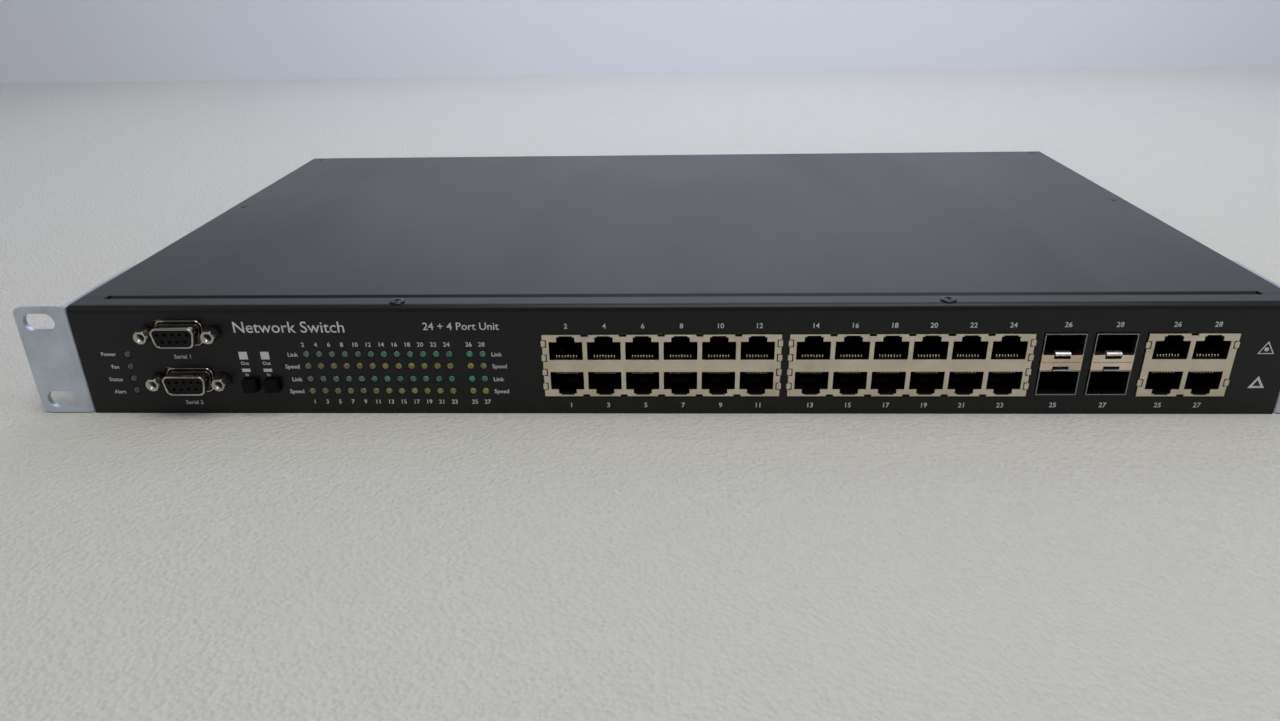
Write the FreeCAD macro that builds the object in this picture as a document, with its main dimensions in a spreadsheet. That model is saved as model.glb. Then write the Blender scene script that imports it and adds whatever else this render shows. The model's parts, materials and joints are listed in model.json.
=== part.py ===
import FreeCAD, Part
import math
import os
import re

import Sketcher

# Rackmount network switch, one rack unit high, in millimetres.
# Origin: centre of the chassis underside. +X right seen from the front, +Y back, +Z up.

V = FreeCAD.Vector
doc = FreeCAD.newDocument("RackSwitch")
sizes = doc.addObject("Spreadsheet::Sheet", "Sizes")

driving = {
    # chassis
    "chassisWidth": 442, "chassisDepth": 254.4, "chassisHeight": 43.6, "metal": 1.2, "bend": 1.5,
    "panelBend": 2.6,
    "stripDepth": 8.6, "stripEndDepth": 10, "joggleRun": 3.4, "joggleStart": 0.6, "seamGap": 0.2,
    "tongueHalf": 210.3, "tongueFront": 3.2, "lidLap": 4,
    "reliefHalf": 211.5, "trayFlange": 10.4, "frontFlange": 8, "rearFlange": 12, "sideScrewInset": 7,
    "ventWidth": 2.6, "ventHeight": 18, "ventPitch": 6, "ventFirstY": -60, "ventLow": 13,
    "rearVentX": -70, "rearVentLow": 11,
    # case screws
    "frontScrewX": 99.3, "frontScrewY": 4.3, "panHeadR": 2.9, "panHeadRise": 0.8, "screwR": 1.5,
    "flatScrewX": 215.25, "flatScrewMidY": 11.8, "flatScrewRearY": 122.2, "flatHeadR": 2.55,
    # rack ears
    "earMetal": 2, "earReach": 241.3, "earLow": 0.35, "earHigh": 43.3, "earSide": 50, "earBend": 3,
    "earCorner": 2.5, "slotX": 232.55, "slotLowZ": 5.93, "slotRise": 31.75, "slotLength": 11.8,
    "slotWidth": 6.9, "earScrewFirst": 16, "earScrewStep": 24, "earScrewLow": 11.8, "earScrewRise": 20,
    # network sockets
    "portPitch": 13.97, "portWidth": 12.3, "portTall": 7.2, "portUpperZ": 22.4, "portLowerZ": 10.4,
    "blockLow": 7.6, "blockHigh": 32.35, "blockDeep": 24, "cavityDeep": 15, "shieldSkin": 0.3,
    "proud": 0.6, "latchWidth": 6.7, "latchRise": 1.8, "latchDeep": 9, "blockWidth": 87,
    "comboWidth": 31.5, "blockAX": -3.1, "blockBX": 86.85, "comboX": 185.7, "firstA": -38.03,
    "firstB": 51.93, "firstCombo": 178.715, "divider": 0.5, "windowGap": 0.3,
    "contactPitch": 1.05, "contactWide": 0.42, "tabWide": 0.45, "tabTall": 2.2, "tabInset": 1.1, "tabGap": 0.4, "latchKey": 0.85,
    "notchWide": 2.6, "notchTall": 0.75, "notchDeep": 1.4,
    # transceiver cages
    "cageX": 141, "cagePitch": 18, "cageWidth": 14.6, "cageLow": 8.1, "cageHigh": 32.4, "cageWall": 0.35,
    "cageDeep": 48, "cageLowerTop": 17.6, "cageUpperLow": 24.1, "cageBarSplit": 21.25, "lipHalf": 2.7,
    "lipProud": 0.6, "lipDeep": 8, "lipTall": 1.3, "latchTall": 1.5,
    # serial sockets
    "serialX": -180.5, "alarmZ": 33.35, "consoleZ": 14.2, "shellWidth": 16.9, "shellTall": 7.9,
    "shellProud": 5.8, "shellLean": 1.4, "collarWide": 18.9, "collarTall": 10.1, "collarProud": 0.35,
    "serialFlangeWide": 30.8, "serialFlangeTall": 12.4, "nutSpacing": 25, "nutFlat": 4.8, "nutProud": 5,
    "nutBore": 1.42, "washerR": 3.2, "washerThick": 0.6, "serialHoleR": 0.55, "serialHolePitch": 2.77,
    # lights
    "ledR": 1.3, "ledHoleR": 1.45, "ledX": -134.85, "ledPitch": 4.865, "lastLedX": -73.75,
    "lastLedPitch": 4.8, "linkTopZ": 24.6, "linkLowZ": 14.5, "speedTopZ": 19.8, "speedLowZ": 9.5,
    "statusX": -202.5, "statusLowZ": 9.85, "statusPitch": 4.97, "ledProud": 0.5, "ledLong": 6,
    "ledDome": 0.7,
    # buttons
    "buttonWide": 5.4, "buttonTall": 5, "buttonProud": 3, "buttonGap": 0.25, "buttonZ": 12.4,
    "roleX": -157.5, "uplinkX": -149.3, "buttonRound": 0.5, "stopWide": 6.6, "stopTall": 6.4,
    "stopThick": 0.7, "stemR": 1.2, "stemLong": 8.5,
    # boards
    "board": 1.6, "boardTop": 7.3, "boardHalf": 211, "boardFront": -123.4, "boardBack": 22,
    "standoffFlat": 5.5, "powerLeft": 62, "powerRight": 206, "powerFront": 32, "powerBack": 104,
    # fans
    "fanWide": 40, "fanDeep": 20, "fanZ": 21.6, "fanOneX": -165, "fanTwoX": -112, "fanBore": 18.9,
    "rotorR": 18.2, "hubR": 10, "fanHole": 16, "shaftR": 1.5, "shaftGap": 0.05, "guardWire": 0.8,
    # power inlet
    "inletX": 165, "inletZ": 21.8, "inletWide": 27, "inletTall": 19.6, "inletFlange": 50,
    "inletFlangeTall": 22.4, "inletDeep": 22, "inletScrew": 20,
    "studX": 118, "studZ": 12, "studR": 2, "studNutFlat": 7, "studNutTall": 3.2,
}
for row, (alias, value) in enumerate(driving.items(), start=1):
    sizes.set("A%d" % row, alias)
    sizes.set("B%d" % row, str(value))
    sizes.setAlias("B%d" % row, alias)
doc.recompute()


def size(alias):
    return float(getattr(sizes, alias))


def bound(text):
    # "metal * 2" becomes "Sizes.metal * 2"
    return re.sub(r"[A-Za-z]\w*", lambda word: "Sizes." + word.group(), str(text))


def number(text):
    plain = re.sub(r"[A-Za-z]\w*", lambda word: "(%r)" % size(word.group()), str(text))
    return FreeCAD.Units.Quantity(plain).Value


# building helpers

FRONT = "-chassisDepth / 2"
REAR = "chassisDepth / 2"
SIDE = "chassisWidth / 2"
LID = "chassisHeight - metal"
LED_RUNS = (("", "ledX", "ledPitch", 12), ("Last", "lastLedX", "lastLedPitch", 2))

nodes = []


def new_body(name):
    body = doc.addObject("PartDesign::Body", name)
    body.Label = name
    body.AllowCompound = True
    nodes.append(body)
    return body


def plain_tag(name):
    return name.title().replace("_", "")


def new_sketch(body, name, plane, offset="0"):
    sketch = body.newObject("Sketcher::SketchObject", name)
    origin_plane = [item for item in body.Origin.OriginFeatures if item.Role == plane][0]
    sketch.AttachmentSupport = [(origin_plane, "")]
    sketch.MapMode = "FlatFace"
    sketch.AttachmentOffset = FreeCAD.Placement(V(0, 0, number(offset)), FreeCAD.Rotation())
    sketch.setExpression("AttachmentOffset.Base.z", bound(offset))
    return sketch


def pin_point(sketch, geometry, point, across, up):
    # ties one point's two coordinates to the sheet
    for kind, text in (("DistanceX", across), ("DistanceY", up)):
        index = sketch.ConstraintCount
        sketch.addConstraint(Sketcher.Constraint(kind, -1, 1, geometry, point, number(text)))
        sketch.setExpression("Constraints[%d]" % index, bound(text))


def add_outline(sketch, corners):
    first = sketch.GeometryCount
    places = [V(number(across), number(up), 0) for across, up in corners]
    for index, place in enumerate(places):
        following = places[(index + 1) % len(places)]
        sketch.addGeometry(Part.LineSegment(place, following), False)
    for index, (across, up) in enumerate(corners):
        following = (index + 1) % len(corners)
        sketch.addConstraint(Sketcher.Constraint("Coincident", first + index, 2, first + following, 1))
        pin_point(sketch, first + index, 1, across, up)


def add_rectangle(sketch, left, low, right, high):
    add_outline(sketch, [(left, low), (right, low), (right, high), (left, high)])


def add_circle(sketch, across, up, radius):
    circle = Part.Circle(V(number(across), number(up), 0), V(0, 0, 1), number(radius))
    index = sketch.addGeometry(circle, False)
    pin_point(sketch, index, 3, across, up)
    tie = sketch.ConstraintCount
    sketch.addConstraint(Sketcher.Constraint("Radius", index, number(radius)))
    sketch.setExpression("Constraints[%d]" % tie, bound(radius))


def add_slot(sketch, across, up, length, width):
    # a slot lying along the sketch's first axis, with half-round ends
    half = number(length) / 2 - number(width) / 2
    radius = number(width) / 2
    middle = (number(across), number(up))
    left, right = V(middle[0] - half, middle[1], 0), V(middle[0] + half, middle[1], 0)
    first = sketch.GeometryCount
    sketch.addGeometry(Part.ArcOfCircle(Part.Circle(left, V(0, 0, 1), radius), math.pi / 2, 1.5 * math.pi))
    sketch.addGeometry(Part.ArcOfCircle(Part.Circle(right, V(0, 0, 1), radius), -math.pi / 2, math.pi / 2))
    for height in (-radius, radius):
        start, end = left + V(0, height, 0), right + V(0, height, 0)
        sketch.addGeometry(Part.LineSegment(start, end), False)
    sketch.addConstraint([
        Sketcher.Constraint("Tangent", first, 2, first + 2, 1),
        Sketcher.Constraint("Tangent", first, 1, first + 3, 1),
        Sketcher.Constraint("Tangent", first + 1, 1, first + 2, 2),
        Sketcher.Constraint("Tangent", first + 1, 2, first + 3, 2),
        Sketcher.Constraint("Equal", first, first + 1)])
    pin_point(sketch, first, 3, "%s - (%s - %s) / 2" % (across, length, width), up)
    pin_point(sketch, first + 1, 3, "%s + (%s - %s) / 2" % (across, length, width), up)
    tie = sketch.ConstraintCount
    sketch.addConstraint(Sketcher.Constraint("Radius", first, radius))
    sketch.setExpression("Constraints[%d]" % tie, bound("(%s) / 2" % width))


def pad(body, sketch, length, symmetric=False, backwards=False):
    feature = body.newObject("PartDesign::Pad", sketch.Name + "Pad")
    feature.Profile = sketch
    feature.Length = number(length)
    feature.setExpression("Length", bound(length))
    feature.SideType = "Symmetric" if symmetric else "One side"
    feature.Reversed = backwards
    return feature


def pocket(body, sketch, length=None, backwards=False):
    # with no length the pocket goes right through, both ways
    feature = body.newObject("PartDesign::Pocket", sketch.Name + "Pocket")
    feature.Profile = sketch
    if length is None:
        feature.Type = "ThroughAll"
        feature.SideType = "Symmetric"
    else:
        feature.Length = number(length)
        feature.setExpression("Length", bound(length))
        feature.Reversed = backwards
    return feature


def pattern(body, features, sketch, count, span, count_up=1, span_up="0"):
    feature = body.newObject("PartDesign::LinearPattern", features[-1].Name + "Pattern")
    feature.Originals = features
    feature.Direction = (sketch, ["H_Axis"])
    feature.Length = number(span)
    feature.setExpression("Length", bound(span))
    feature.Occurrences = count
    if count_up > 1:
        feature.Direction2 = (sketch, ["V_Axis"])
        feature.Length2 = number(span_up)
        feature.setExpression("Length2", bound(span_up))
        feature.Occurrences2 = count_up
    body.Tip = feature


def long_edges(shape, test):
    # names of the straight edges whose middle and direction pass the test
    return ["Edge%d" % (index + 1) for index, edge in enumerate(shape.Edges)
            if isinstance(edge.Curve, Part.Line)
            and test(edge.CenterOfMass, edge.tangentAt(edge.FirstParameter))]


def round_edges(body, feature, radius, test):
    doc.recompute()
    fillet = body.newObject("PartDesign::Fillet", feature.Name + "Round")
    fillet.Base = (feature, long_edges(feature.Shape, test))
    fillet.Radius = number(radius)
    fillet.setExpression("Radius", bound(radius))
    return fillet


def new_block(name, low, high):
    block = doc.addObject("Part::Box", name)
    for axis, side, start, end in zip("xyz", ("Length", "Width", "Height"), low, high):
        block.setExpression(side, bound("(%s) - (%s)" % (end, start)))
        block.setExpression("Placement.Base." + axis, bound(start))
    return block


def new_rod(name, centre, radius, length, axis="Y"):
    # a cylinder that starts at centre and runs along +Y or +Z
    rod = doc.addObject("Part::Cylinder", name)
    rod.setExpression("Radius", bound(radius))
    rod.setExpression("Height", bound(length))
    if axis == "Y":
        rod.Placement.Rotation = FreeCAD.Rotation(V(1, 0, 0), -90)
    for letter, text in zip("xyz", centre):
        rod.setExpression("Placement.Base." + letter, bound(text))
    return rod


def new_cut(name, base, tools):
    tool = doc.addObject("Part::MultiFuse", name + "Tools")
    tool.Shapes = tools
    cut = doc.addObject("Part::Cut", name)
    cut.Base = base
    cut.Tool = tool
    keep_node(cut, name)


def new_fuse(name, shapes):
    fuse = doc.addObject("Part::MultiFuse", name)
    fuse.Shapes = shapes
    fuse.Refine = True
    return fuse


def new_solids(name, solids):
    # identical small pieces at places that no pattern gives
    feature = doc.addObject("Part::Feature", name)
    feature.Shape = Part.makeCompound(solids)
    keep_node(feature, name)


def keep_node(item, name):
    item.Label = name
    nodes.append(item)


def rod(centre, radius, length, direction):
    return Part.makeCylinder(radius, length, V(*centre), V(*direction))


def brick(low, high):
    return Part.makeBox(high[0] - low[0], high[1] - low[1], high[2] - low[2], V(*low))


def hexagon(centre, flat, length, direction):
    # a hexagonal bar from centre along direction; one flat faces up
    radius = flat / math.sqrt(3)
    corners = [V(radius * math.cos(math.radians(60 * k)), radius * math.sin(math.radians(60 * k)), 0)
               for k in range(7)]
    bar = Part.Face(Part.makePolygon(corners)).extrude(V(0, 0, length))
    bar.Placement = FreeCAD.Placement(V(*centre), FreeCAD.Rotation(V(0, 0, 1), V(*direction)))
    return bar


front = -size("chassisDepth") / 2
rear = size("chassisDepth") / 2
side = size("chassisWidth") / 2
metal = size("metal")
lid = size("chassisHeight") - metal


# chassis

def base_tray():
    # floor, two sides and the inward flanges that carry the lid
    body = new_body("base_tray")
    profile = new_sketch(body, "TrayProfile", "XZ_Plane")
    top = LID
    add_outline(profile, [
        ("-" + SIDE, "0"), (SIDE, "0"), (SIDE, top), (SIDE + " - trayFlange", top),
        (SIDE + " - trayFlange", top + " - metal"), (SIDE + " - metal", top + " - metal"),
        (SIDE + " - metal", "metal"), ("metal - " + SIDE, "metal"),
        ("metal - " + SIDE, top + " - metal"), ("trayFlange - " + SIDE, top + " - metal"),
        ("trayFlange - " + SIDE, top), ("-" + SIDE, top)])
    tray = pad(body, profile, "chassisDepth - 2 * metal", symmetric=True)
    round_edges(body, tray, "bend", lambda mid, way: abs(way.y) > 0.9 and abs(abs(mid.x) - side) < 0.01)
    vents = new_sketch(body, "SideVents", "YZ_Plane")
    add_rectangle(vents, "ventFirstY", "ventLow", "ventFirstY + ventWidth", "ventLow + ventHeight")
    slot = pocket(body, vents)
    pattern(body, [slot], vents, 22, "21 * ventPitch")
    holes = new_sketch(body, "TrayScrewHoles", "YZ_Plane")
    for along in ("0", "earScrewStep"):
        for rise in ("0", "earScrewRise"):
            add_circle(holes, FRONT + " + earScrewFirst + " + along, "earScrewLow + " + rise, "screwR")
    for rise in ("earScrewLow", "earScrewLow + earScrewRise"):
        add_circle(holes, REAR + " - sideScrewInset", rise, "screwR")
    # room for the inside of the front panel's fold
    add_rectangle(holes, FRONT, LID + " - panelBend + metal - 0.05", FRONT + " + panelBend + 0.05", LID + " + 1")
    pocket(body, holes)
    lid_holes = new_sketch(body, "TrayLidHoles", "XY_Plane", "chassisHeight - 2 * metal - 1")
    for across in ("-flatScrewX", "flatScrewX"):
        for along in ("flatScrewMidY", "flatScrewRearY"):
            add_circle(lid_holes, across, along, "screwR")
    pocket(body, lid_holes, "metal + 2", backwards=True)


def front_panel():
    # face plate with a folded strip along its top and a flange along its bottom
    body = new_body("front_panel")
    profile = new_sketch(body, "PanelProfile", "YZ_Plane")
    back = FRONT + " + metal"
    tall = "chassisHeight"
    add_outline(profile, [
        (FRONT, "0"), (back, "0"), (back, "metal"), (FRONT + " + frontFlange", "metal"),
        (FRONT + " + frontFlange", "2 * metal"), (back, "2 * metal"), (back, tall + " - metal"),
        (FRONT + " + stripEndDepth", tall + " - metal"), (FRONT + " + stripEndDepth", tall), (FRONT, tall)])
    plate = pad(body, profile, "chassisWidth", symmetric=True)
    height = number(tall)
    folded = round_edges(body, plate, "panelBend", lambda mid, way: abs(way.x) > 0.9
                         and abs(mid.y - front) < 0.01 and abs(mid.z - height) < 0.01)
    round_edges(body, folded, "panelBend - metal", lambda mid, way: abs(way.x) > 0.9
                and abs(mid.y - front - metal) < 0.01 and abs(mid.z - height + metal) < 0.01)
    relief = new_sketch(body, "StripRelief", "XY_Plane")
    add_rectangle(relief, "-reliefHalf", FRONT + " + stripDepth",
                  "reliefHalf", FRONT + " + stripEndDepth + 1")
    pocket(body, relief)
    corners = new_sketch(body, "FlangeCorners", "XY_Plane")
    for left, right in (("-" + SIDE, "1.5 * metal - " + SIDE), (SIDE + " - 1.5 * metal", SIDE)):
        add_rectangle(corners, left, FRONT + " + metal", right, FRONT + " + frontFlange")
    pocket(body, corners, "3 * metal", backwards=True)
    screw_holes = new_sketch(body, "StripScrewHoles", "XY_Plane", "chassisHeight - 2 * metal")
    for across in ("-frontScrewX", "frontScrewX"):
        add_circle(screw_holes, across, FRONT + " + frontScrewY", "screwR + 0.1")
    pocket(body, screw_holes, "3 * metal", backwards=True)

    windows = new_sketch(body, "PanelWindows", "XZ_Plane")
    low, high = "blockLow - windowGap", "blockHigh + windowGap"
    for middle, width in (("blockAX", "blockWidth"), ("blockBX", "blockWidth"), ("comboX", "comboWidth")):
        reach = "(%s / 2 + windowGap)" % width
        add_rectangle(windows, "%s - %s" % (middle, reach), low, "%s + %s" % (middle, reach), high)
    for middle in ("cageX", "cageX + cagePitch"):
        reach = "(cageWidth / 2 + windowGap)"
        add_rectangle(windows, "%s - %s" % (middle, reach), "cageLow - windowGap",
                      "%s + %s" % (middle, reach), "cageHigh + windowGap")
    for middle in ("roleX", "uplinkX"):
        reach = "(buttonWide / 2 + buttonGap)"
        rise = "(buttonTall / 2 + buttonGap)"
        add_rectangle(windows, "%s - %s" % (middle, reach), "buttonZ - " + rise,
                      "%s + %s" % (middle, reach), "buttonZ + " + rise)
    for height in ("alarmZ", "consoleZ"):
        low, high = height + " - collarTall / 2 - 0.15", height + " + collarTall / 2 + 0.15"
        narrow, broad = "(collarWide / 2 - 1.3)", "(collarWide / 2 + 0.2)"
        add_outline(windows, [
            ("serialX - %s + 1" % narrow, low), ("serialX + %s - 1" % narrow, low),
            ("serialX + %s" % narrow, low + " + 1"), ("serialX + " + broad, high + " - 1.4"),
            ("serialX + %s - 1.4" % broad, high), ("serialX - %s + 1.4" % broad, high),
            ("serialX - " + broad, high + " - 1.4"), ("serialX - %s" % narrow, low + " + 1")])
        for offset in ("-nutSpacing / 2", "nutSpacing / 2"):
            add_circle(windows, "serialX + " + offset, height, "1.75")
    for step in range(4):
        add_circle(windows, "statusX", "statusLowZ + %d * statusPitch" % step, "ledHoleR")
    pocket(body, windows)
    for name, low, high in (("Link", "linkLowZ", "linkTopZ"), ("Speed", "speedLowZ", "speedTopZ")):
        for label, first, step, count in LED_RUNS:
            hole = new_sketch(body, name + label + "LedHole", "XZ_Plane")
            add_circle(hole, first, low, "ledHoleR")
            cut = pocket(body, hole)
            pattern(body, [cut], hole, count, "%d * %s" % (count - 1, step), 2, "%s - %s" % (high, low))


def rear_panel():
    # rear wall with two side flanges, fan holes, a vent field and the inlet's opening
    body = new_body("rear_panel")
    profile = new_sketch(body, "RearProfile", "XY_Plane")
    inner = SIDE + " - metal - 0.1"
    flange_end = REAR + " - rearFlange"
    add_outline(profile, [
        ("-" + SIDE, REAR), ("-" + SIDE, REAR + " - metal"), ("0.1 + metal - " + SIDE, REAR + " - metal"),
        ("0.1 + metal - " + SIDE, flange_end), ("0.1 + 2 * metal - " + SIDE, flange_end),
        ("0.1 + 2 * metal - " + SIDE, REAR + " - metal"), (inner + " - metal", REAR + " - metal"),
        (inner + " - metal", flange_end), (inner, flange_end), (inner, REAR + " - metal"),
        (SIDE, REAR + " - metal"), (SIDE, REAR)])
    pad(body, profile, LID)
    notch = new_sketch(body, "RearFlangeEnds", "YZ_Plane")
    for low, high in (("-1", "metal + 0.6"), (LID + " - metal - 0.6", LID + " + 1")):
        add_rectangle(notch, flange_end + " - 1", low, REAR + " - metal", high)
    pocket(body, notch)
    screws = new_sketch(body, "RearSideHoles", "YZ_Plane")
    for rise in ("earScrewLow", "earScrewLow + earScrewRise"):
        add_circle(screws, REAR + " - sideScrewInset", rise, "screwR")
    pocket(body, screws)
    openings = new_sketch(body, "RearOpenings", "XZ_Plane")
    for middle in ("fanOneX", "fanTwoX"):
        add_circle(openings, middle, "fanZ", "fanBore")
        for across in ("-fanHole", "fanHole"):
            for up in ("-fanHole", "fanHole"):
                add_circle(openings, "%s + %s" % (middle, across), "fanZ + " + up, "screwR + 0.1")
    add_rectangle(openings, "inletX - inletWide / 2 - 0.3", "inletZ - inletTall / 2 - 0.3",
                  "inletX + inletWide / 2 + 0.3", "inletZ + inletTall / 2 + 0.3")
    for across in ("-inletScrew", "inletScrew"):
        add_circle(openings, "inletX + " + across, "inletZ", "screwR + 0.1")
    add_circle(openings, "studX", "studZ", "studR + 0.05")
    pocket(body, openings)
    vents = new_sketch(body, "RearVents", "XZ_Plane")
    add_rectangle(vents, "rearVentX", "rearVentLow", "rearVentX + ventWidth", "ventLow + ventHeight")
    slot = pocket(body, vents)
    pattern(body, [slot], vents, 26, "25 * ventPitch")


def top_cover():
    # lid with a front tongue that is stepped down to pass under the front strip
    body = new_body("top_cover")
    profile = new_sketch(body, "TongueProfile", "YZ_Plane")
    step = "(metal + 0.05)"
    tip = FRONT + " + tongueFront"
    ramp = FRONT + " + stripDepth + joggleStart"
    behind = FRONT + " + stripDepth + joggleRun"
    add_outline(profile, [
        (tip, LID + " - " + step), (ramp, LID + " - " + step), (behind, LID), (behind + " + lidLap", LID),
        (behind + " + lidLap", "chassisHeight"), (behind, "chassisHeight"),
        (ramp, "chassisHeight - " + step), (tip, "chassisHeight - " + step)])
    pad(body, profile, "2 * tongueHalf", symmetric=True)
    plate = new_sketch(body, "LidPlate", "XY_Plane", LID)
    ends = FRONT + " + stripEndDepth + seamGap"
    add_outline(plate, [
        ("-" + SIDE, ends), ("-reliefHalf", ends), ("-reliefHalf", behind), ("reliefHalf", behind),
        ("reliefHalf", ends), (SIDE, ends), (SIDE, REAR), ("-" + SIDE, REAR)])
    pad(body, plate, "metal")
    tongue_holes = new_sketch(body, "TongueHoles", "XY_Plane")
    for across in ("-frontScrewX", "frontScrewX"):
        add_circle(tongue_holes, across, FRONT + " + frontScrewY", "screwR")
    for across in ("-flatScrewX", "flatScrewX"):
        for along in ("flatScrewMidY", "flatScrewRearY"):
            add_circle(tongue_holes, across, along, "screwR + 0.1")
    holes = pocket(body, tongue_holes)
    doc.recompute()
    sink = body.newObject("PartDesign::Chamfer", "ScrewSinks")
    top = number("chassisHeight")
    rims = ["Edge%d" % (index + 1) for index, edge in enumerate(holes.Shape.Edges)
            if isinstance(edge.Curve, Part.Circle) and abs(edge.CenterOfMass.z - top) < 0.01
            and abs(edge.CenterOfMass.x) > 200]
    sink.Base = (holes, rims)
    sink.Size = number("flatHeadR - screwR")
    sink.setExpression("Size", bound("flatHeadR - screwR"))


def case_screws():
    rise = size("panHeadRise")
    strip, flats, ear_screws, rear_screws = [], [], [], []
    for sign in (-1, 1):
        place = (sign * size("frontScrewX"), front + size("frontScrewY"), size("chassisHeight"))
        head = rod(place, size("panHeadR"), rise, (0, 0, 1))
        rim = [edge for edge in head.Edges
               if isinstance(edge.Curve, Part.Circle) and edge.CenterOfMass.z > place[2] + 0.1]
        strip.append(head.makeFillet(0.5, rim).fuse(rod(place, size("screwR") - 0.05, 5, (0, 0, -1))))
        for along in (size("flatScrewMidY"), size("flatScrewRearY")):
            top = V(sign * size("flatScrewX"), along, size("chassisHeight") - 0.05)
            deep = size("flatHeadR") - size("screwR")
            cone = Part.makeCone(size("flatHeadR") - 0.05, size("screwR") - 0.05, deep, top, V(0, 0, -1))
            shank = rod(top, size("screwR") - 0.05, 5, (0, 0, -1))
            socket = rod(top, 1.1, 0.7, (0, 0, -1))
            flats.append(cone.fuse(shank).cut(socket))
        for up in (0, size("earScrewRise")):
            for along in (0, size("earScrewStep")):
                place = (sign * (side + size("earMetal")), front + size("earScrewFirst") + along,
                         size("earScrewLow") + up)
                ear_screws.append(pan_screw(place, 2.8, 1.2, 6, (-sign, 0, 0)))
            place = (sign * side, rear - size("sideScrewInset"), size("earScrewLow") + up)
            rear_screws.append(pan_screw(place, 2.6, 0.9, 5, (-sign, 0, 0)))
    new_solids("strip_screws", strip)
    new_solids("lid_screws", flats)
    new_solids("rack_ear_screws", ear_screws)
    new_solids("rear_side_screws", rear_screws)


def pan_screw(place, radius, rise, length, inward):
    outward = V(*inward) * -1
    head = Part.makeCylinder(radius, rise, V(*place), outward)
    tip = V(*place) + outward * rise
    recess = Part.makeCylinder(radius * 0.4, rise * 0.6, tip, outward * -1)
    shank = Part.makeCylinder(size("screwR") - 0.05, length, V(*place), V(*inward))
    return head.fuse(shank).cut(recess)


def rack_ear(name, sign):
    # bent angle: slotted flange in front, side plate along the chassis
    body = new_body(name)
    profile = new_sketch(body, plain_tag(name) + "Profile", "XY_Plane", "earLow")
    turn = "" if sign > 0 else "-"
    outer = turn + "(" + SIDE + " + earMetal)"
    inner = turn + "(" + SIDE + ")"
    reach = turn + "earReach"
    add_outline(profile, [
        (inner, FRONT), (reach, FRONT), (reach, FRONT + " + earMetal"), (outer, FRONT + " + earMetal"),
        (outer, FRONT + " + earSide"), (inner, FRONT + " + earSide")])
    angle = pad(body, profile, "earHigh - earLow")
    tip, back = number("earReach"), number(FRONT + " + earSide")
    bend = round_edges(body, angle, "earBend", lambda mid, way: abs(way.z) > 0.9
                       and abs(abs(mid.x) - side) < 0.01 and abs(mid.y - front) < 0.01)
    round_edges(body, bend, "earCorner", lambda mid, way: (
        abs(abs(mid.x) - tip) < 0.01 and abs(way.y) > 0.9) or (abs(mid.y - back) < 0.01 and abs(way.x) > 0.9))
    slots = new_sketch(body, plain_tag(name) + "Slots", "XZ_Plane")
    for up in ("slotLowZ", "slotLowZ + slotRise"):
        add_slot(slots, turn + "slotX", up, "slotLength", "slotWidth")
    pocket(body, slots)
    holes = new_sketch(body, plain_tag(name) + "Holes", "YZ_Plane")
    for along in ("0", "earScrewStep"):
        for rise in ("0", "earScrewRise"):
            add_circle(holes, FRONT + " + earScrewFirst + " + along, "earScrewLow + " + rise, "screwR")
    pocket(body, holes)


# network sockets

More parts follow.
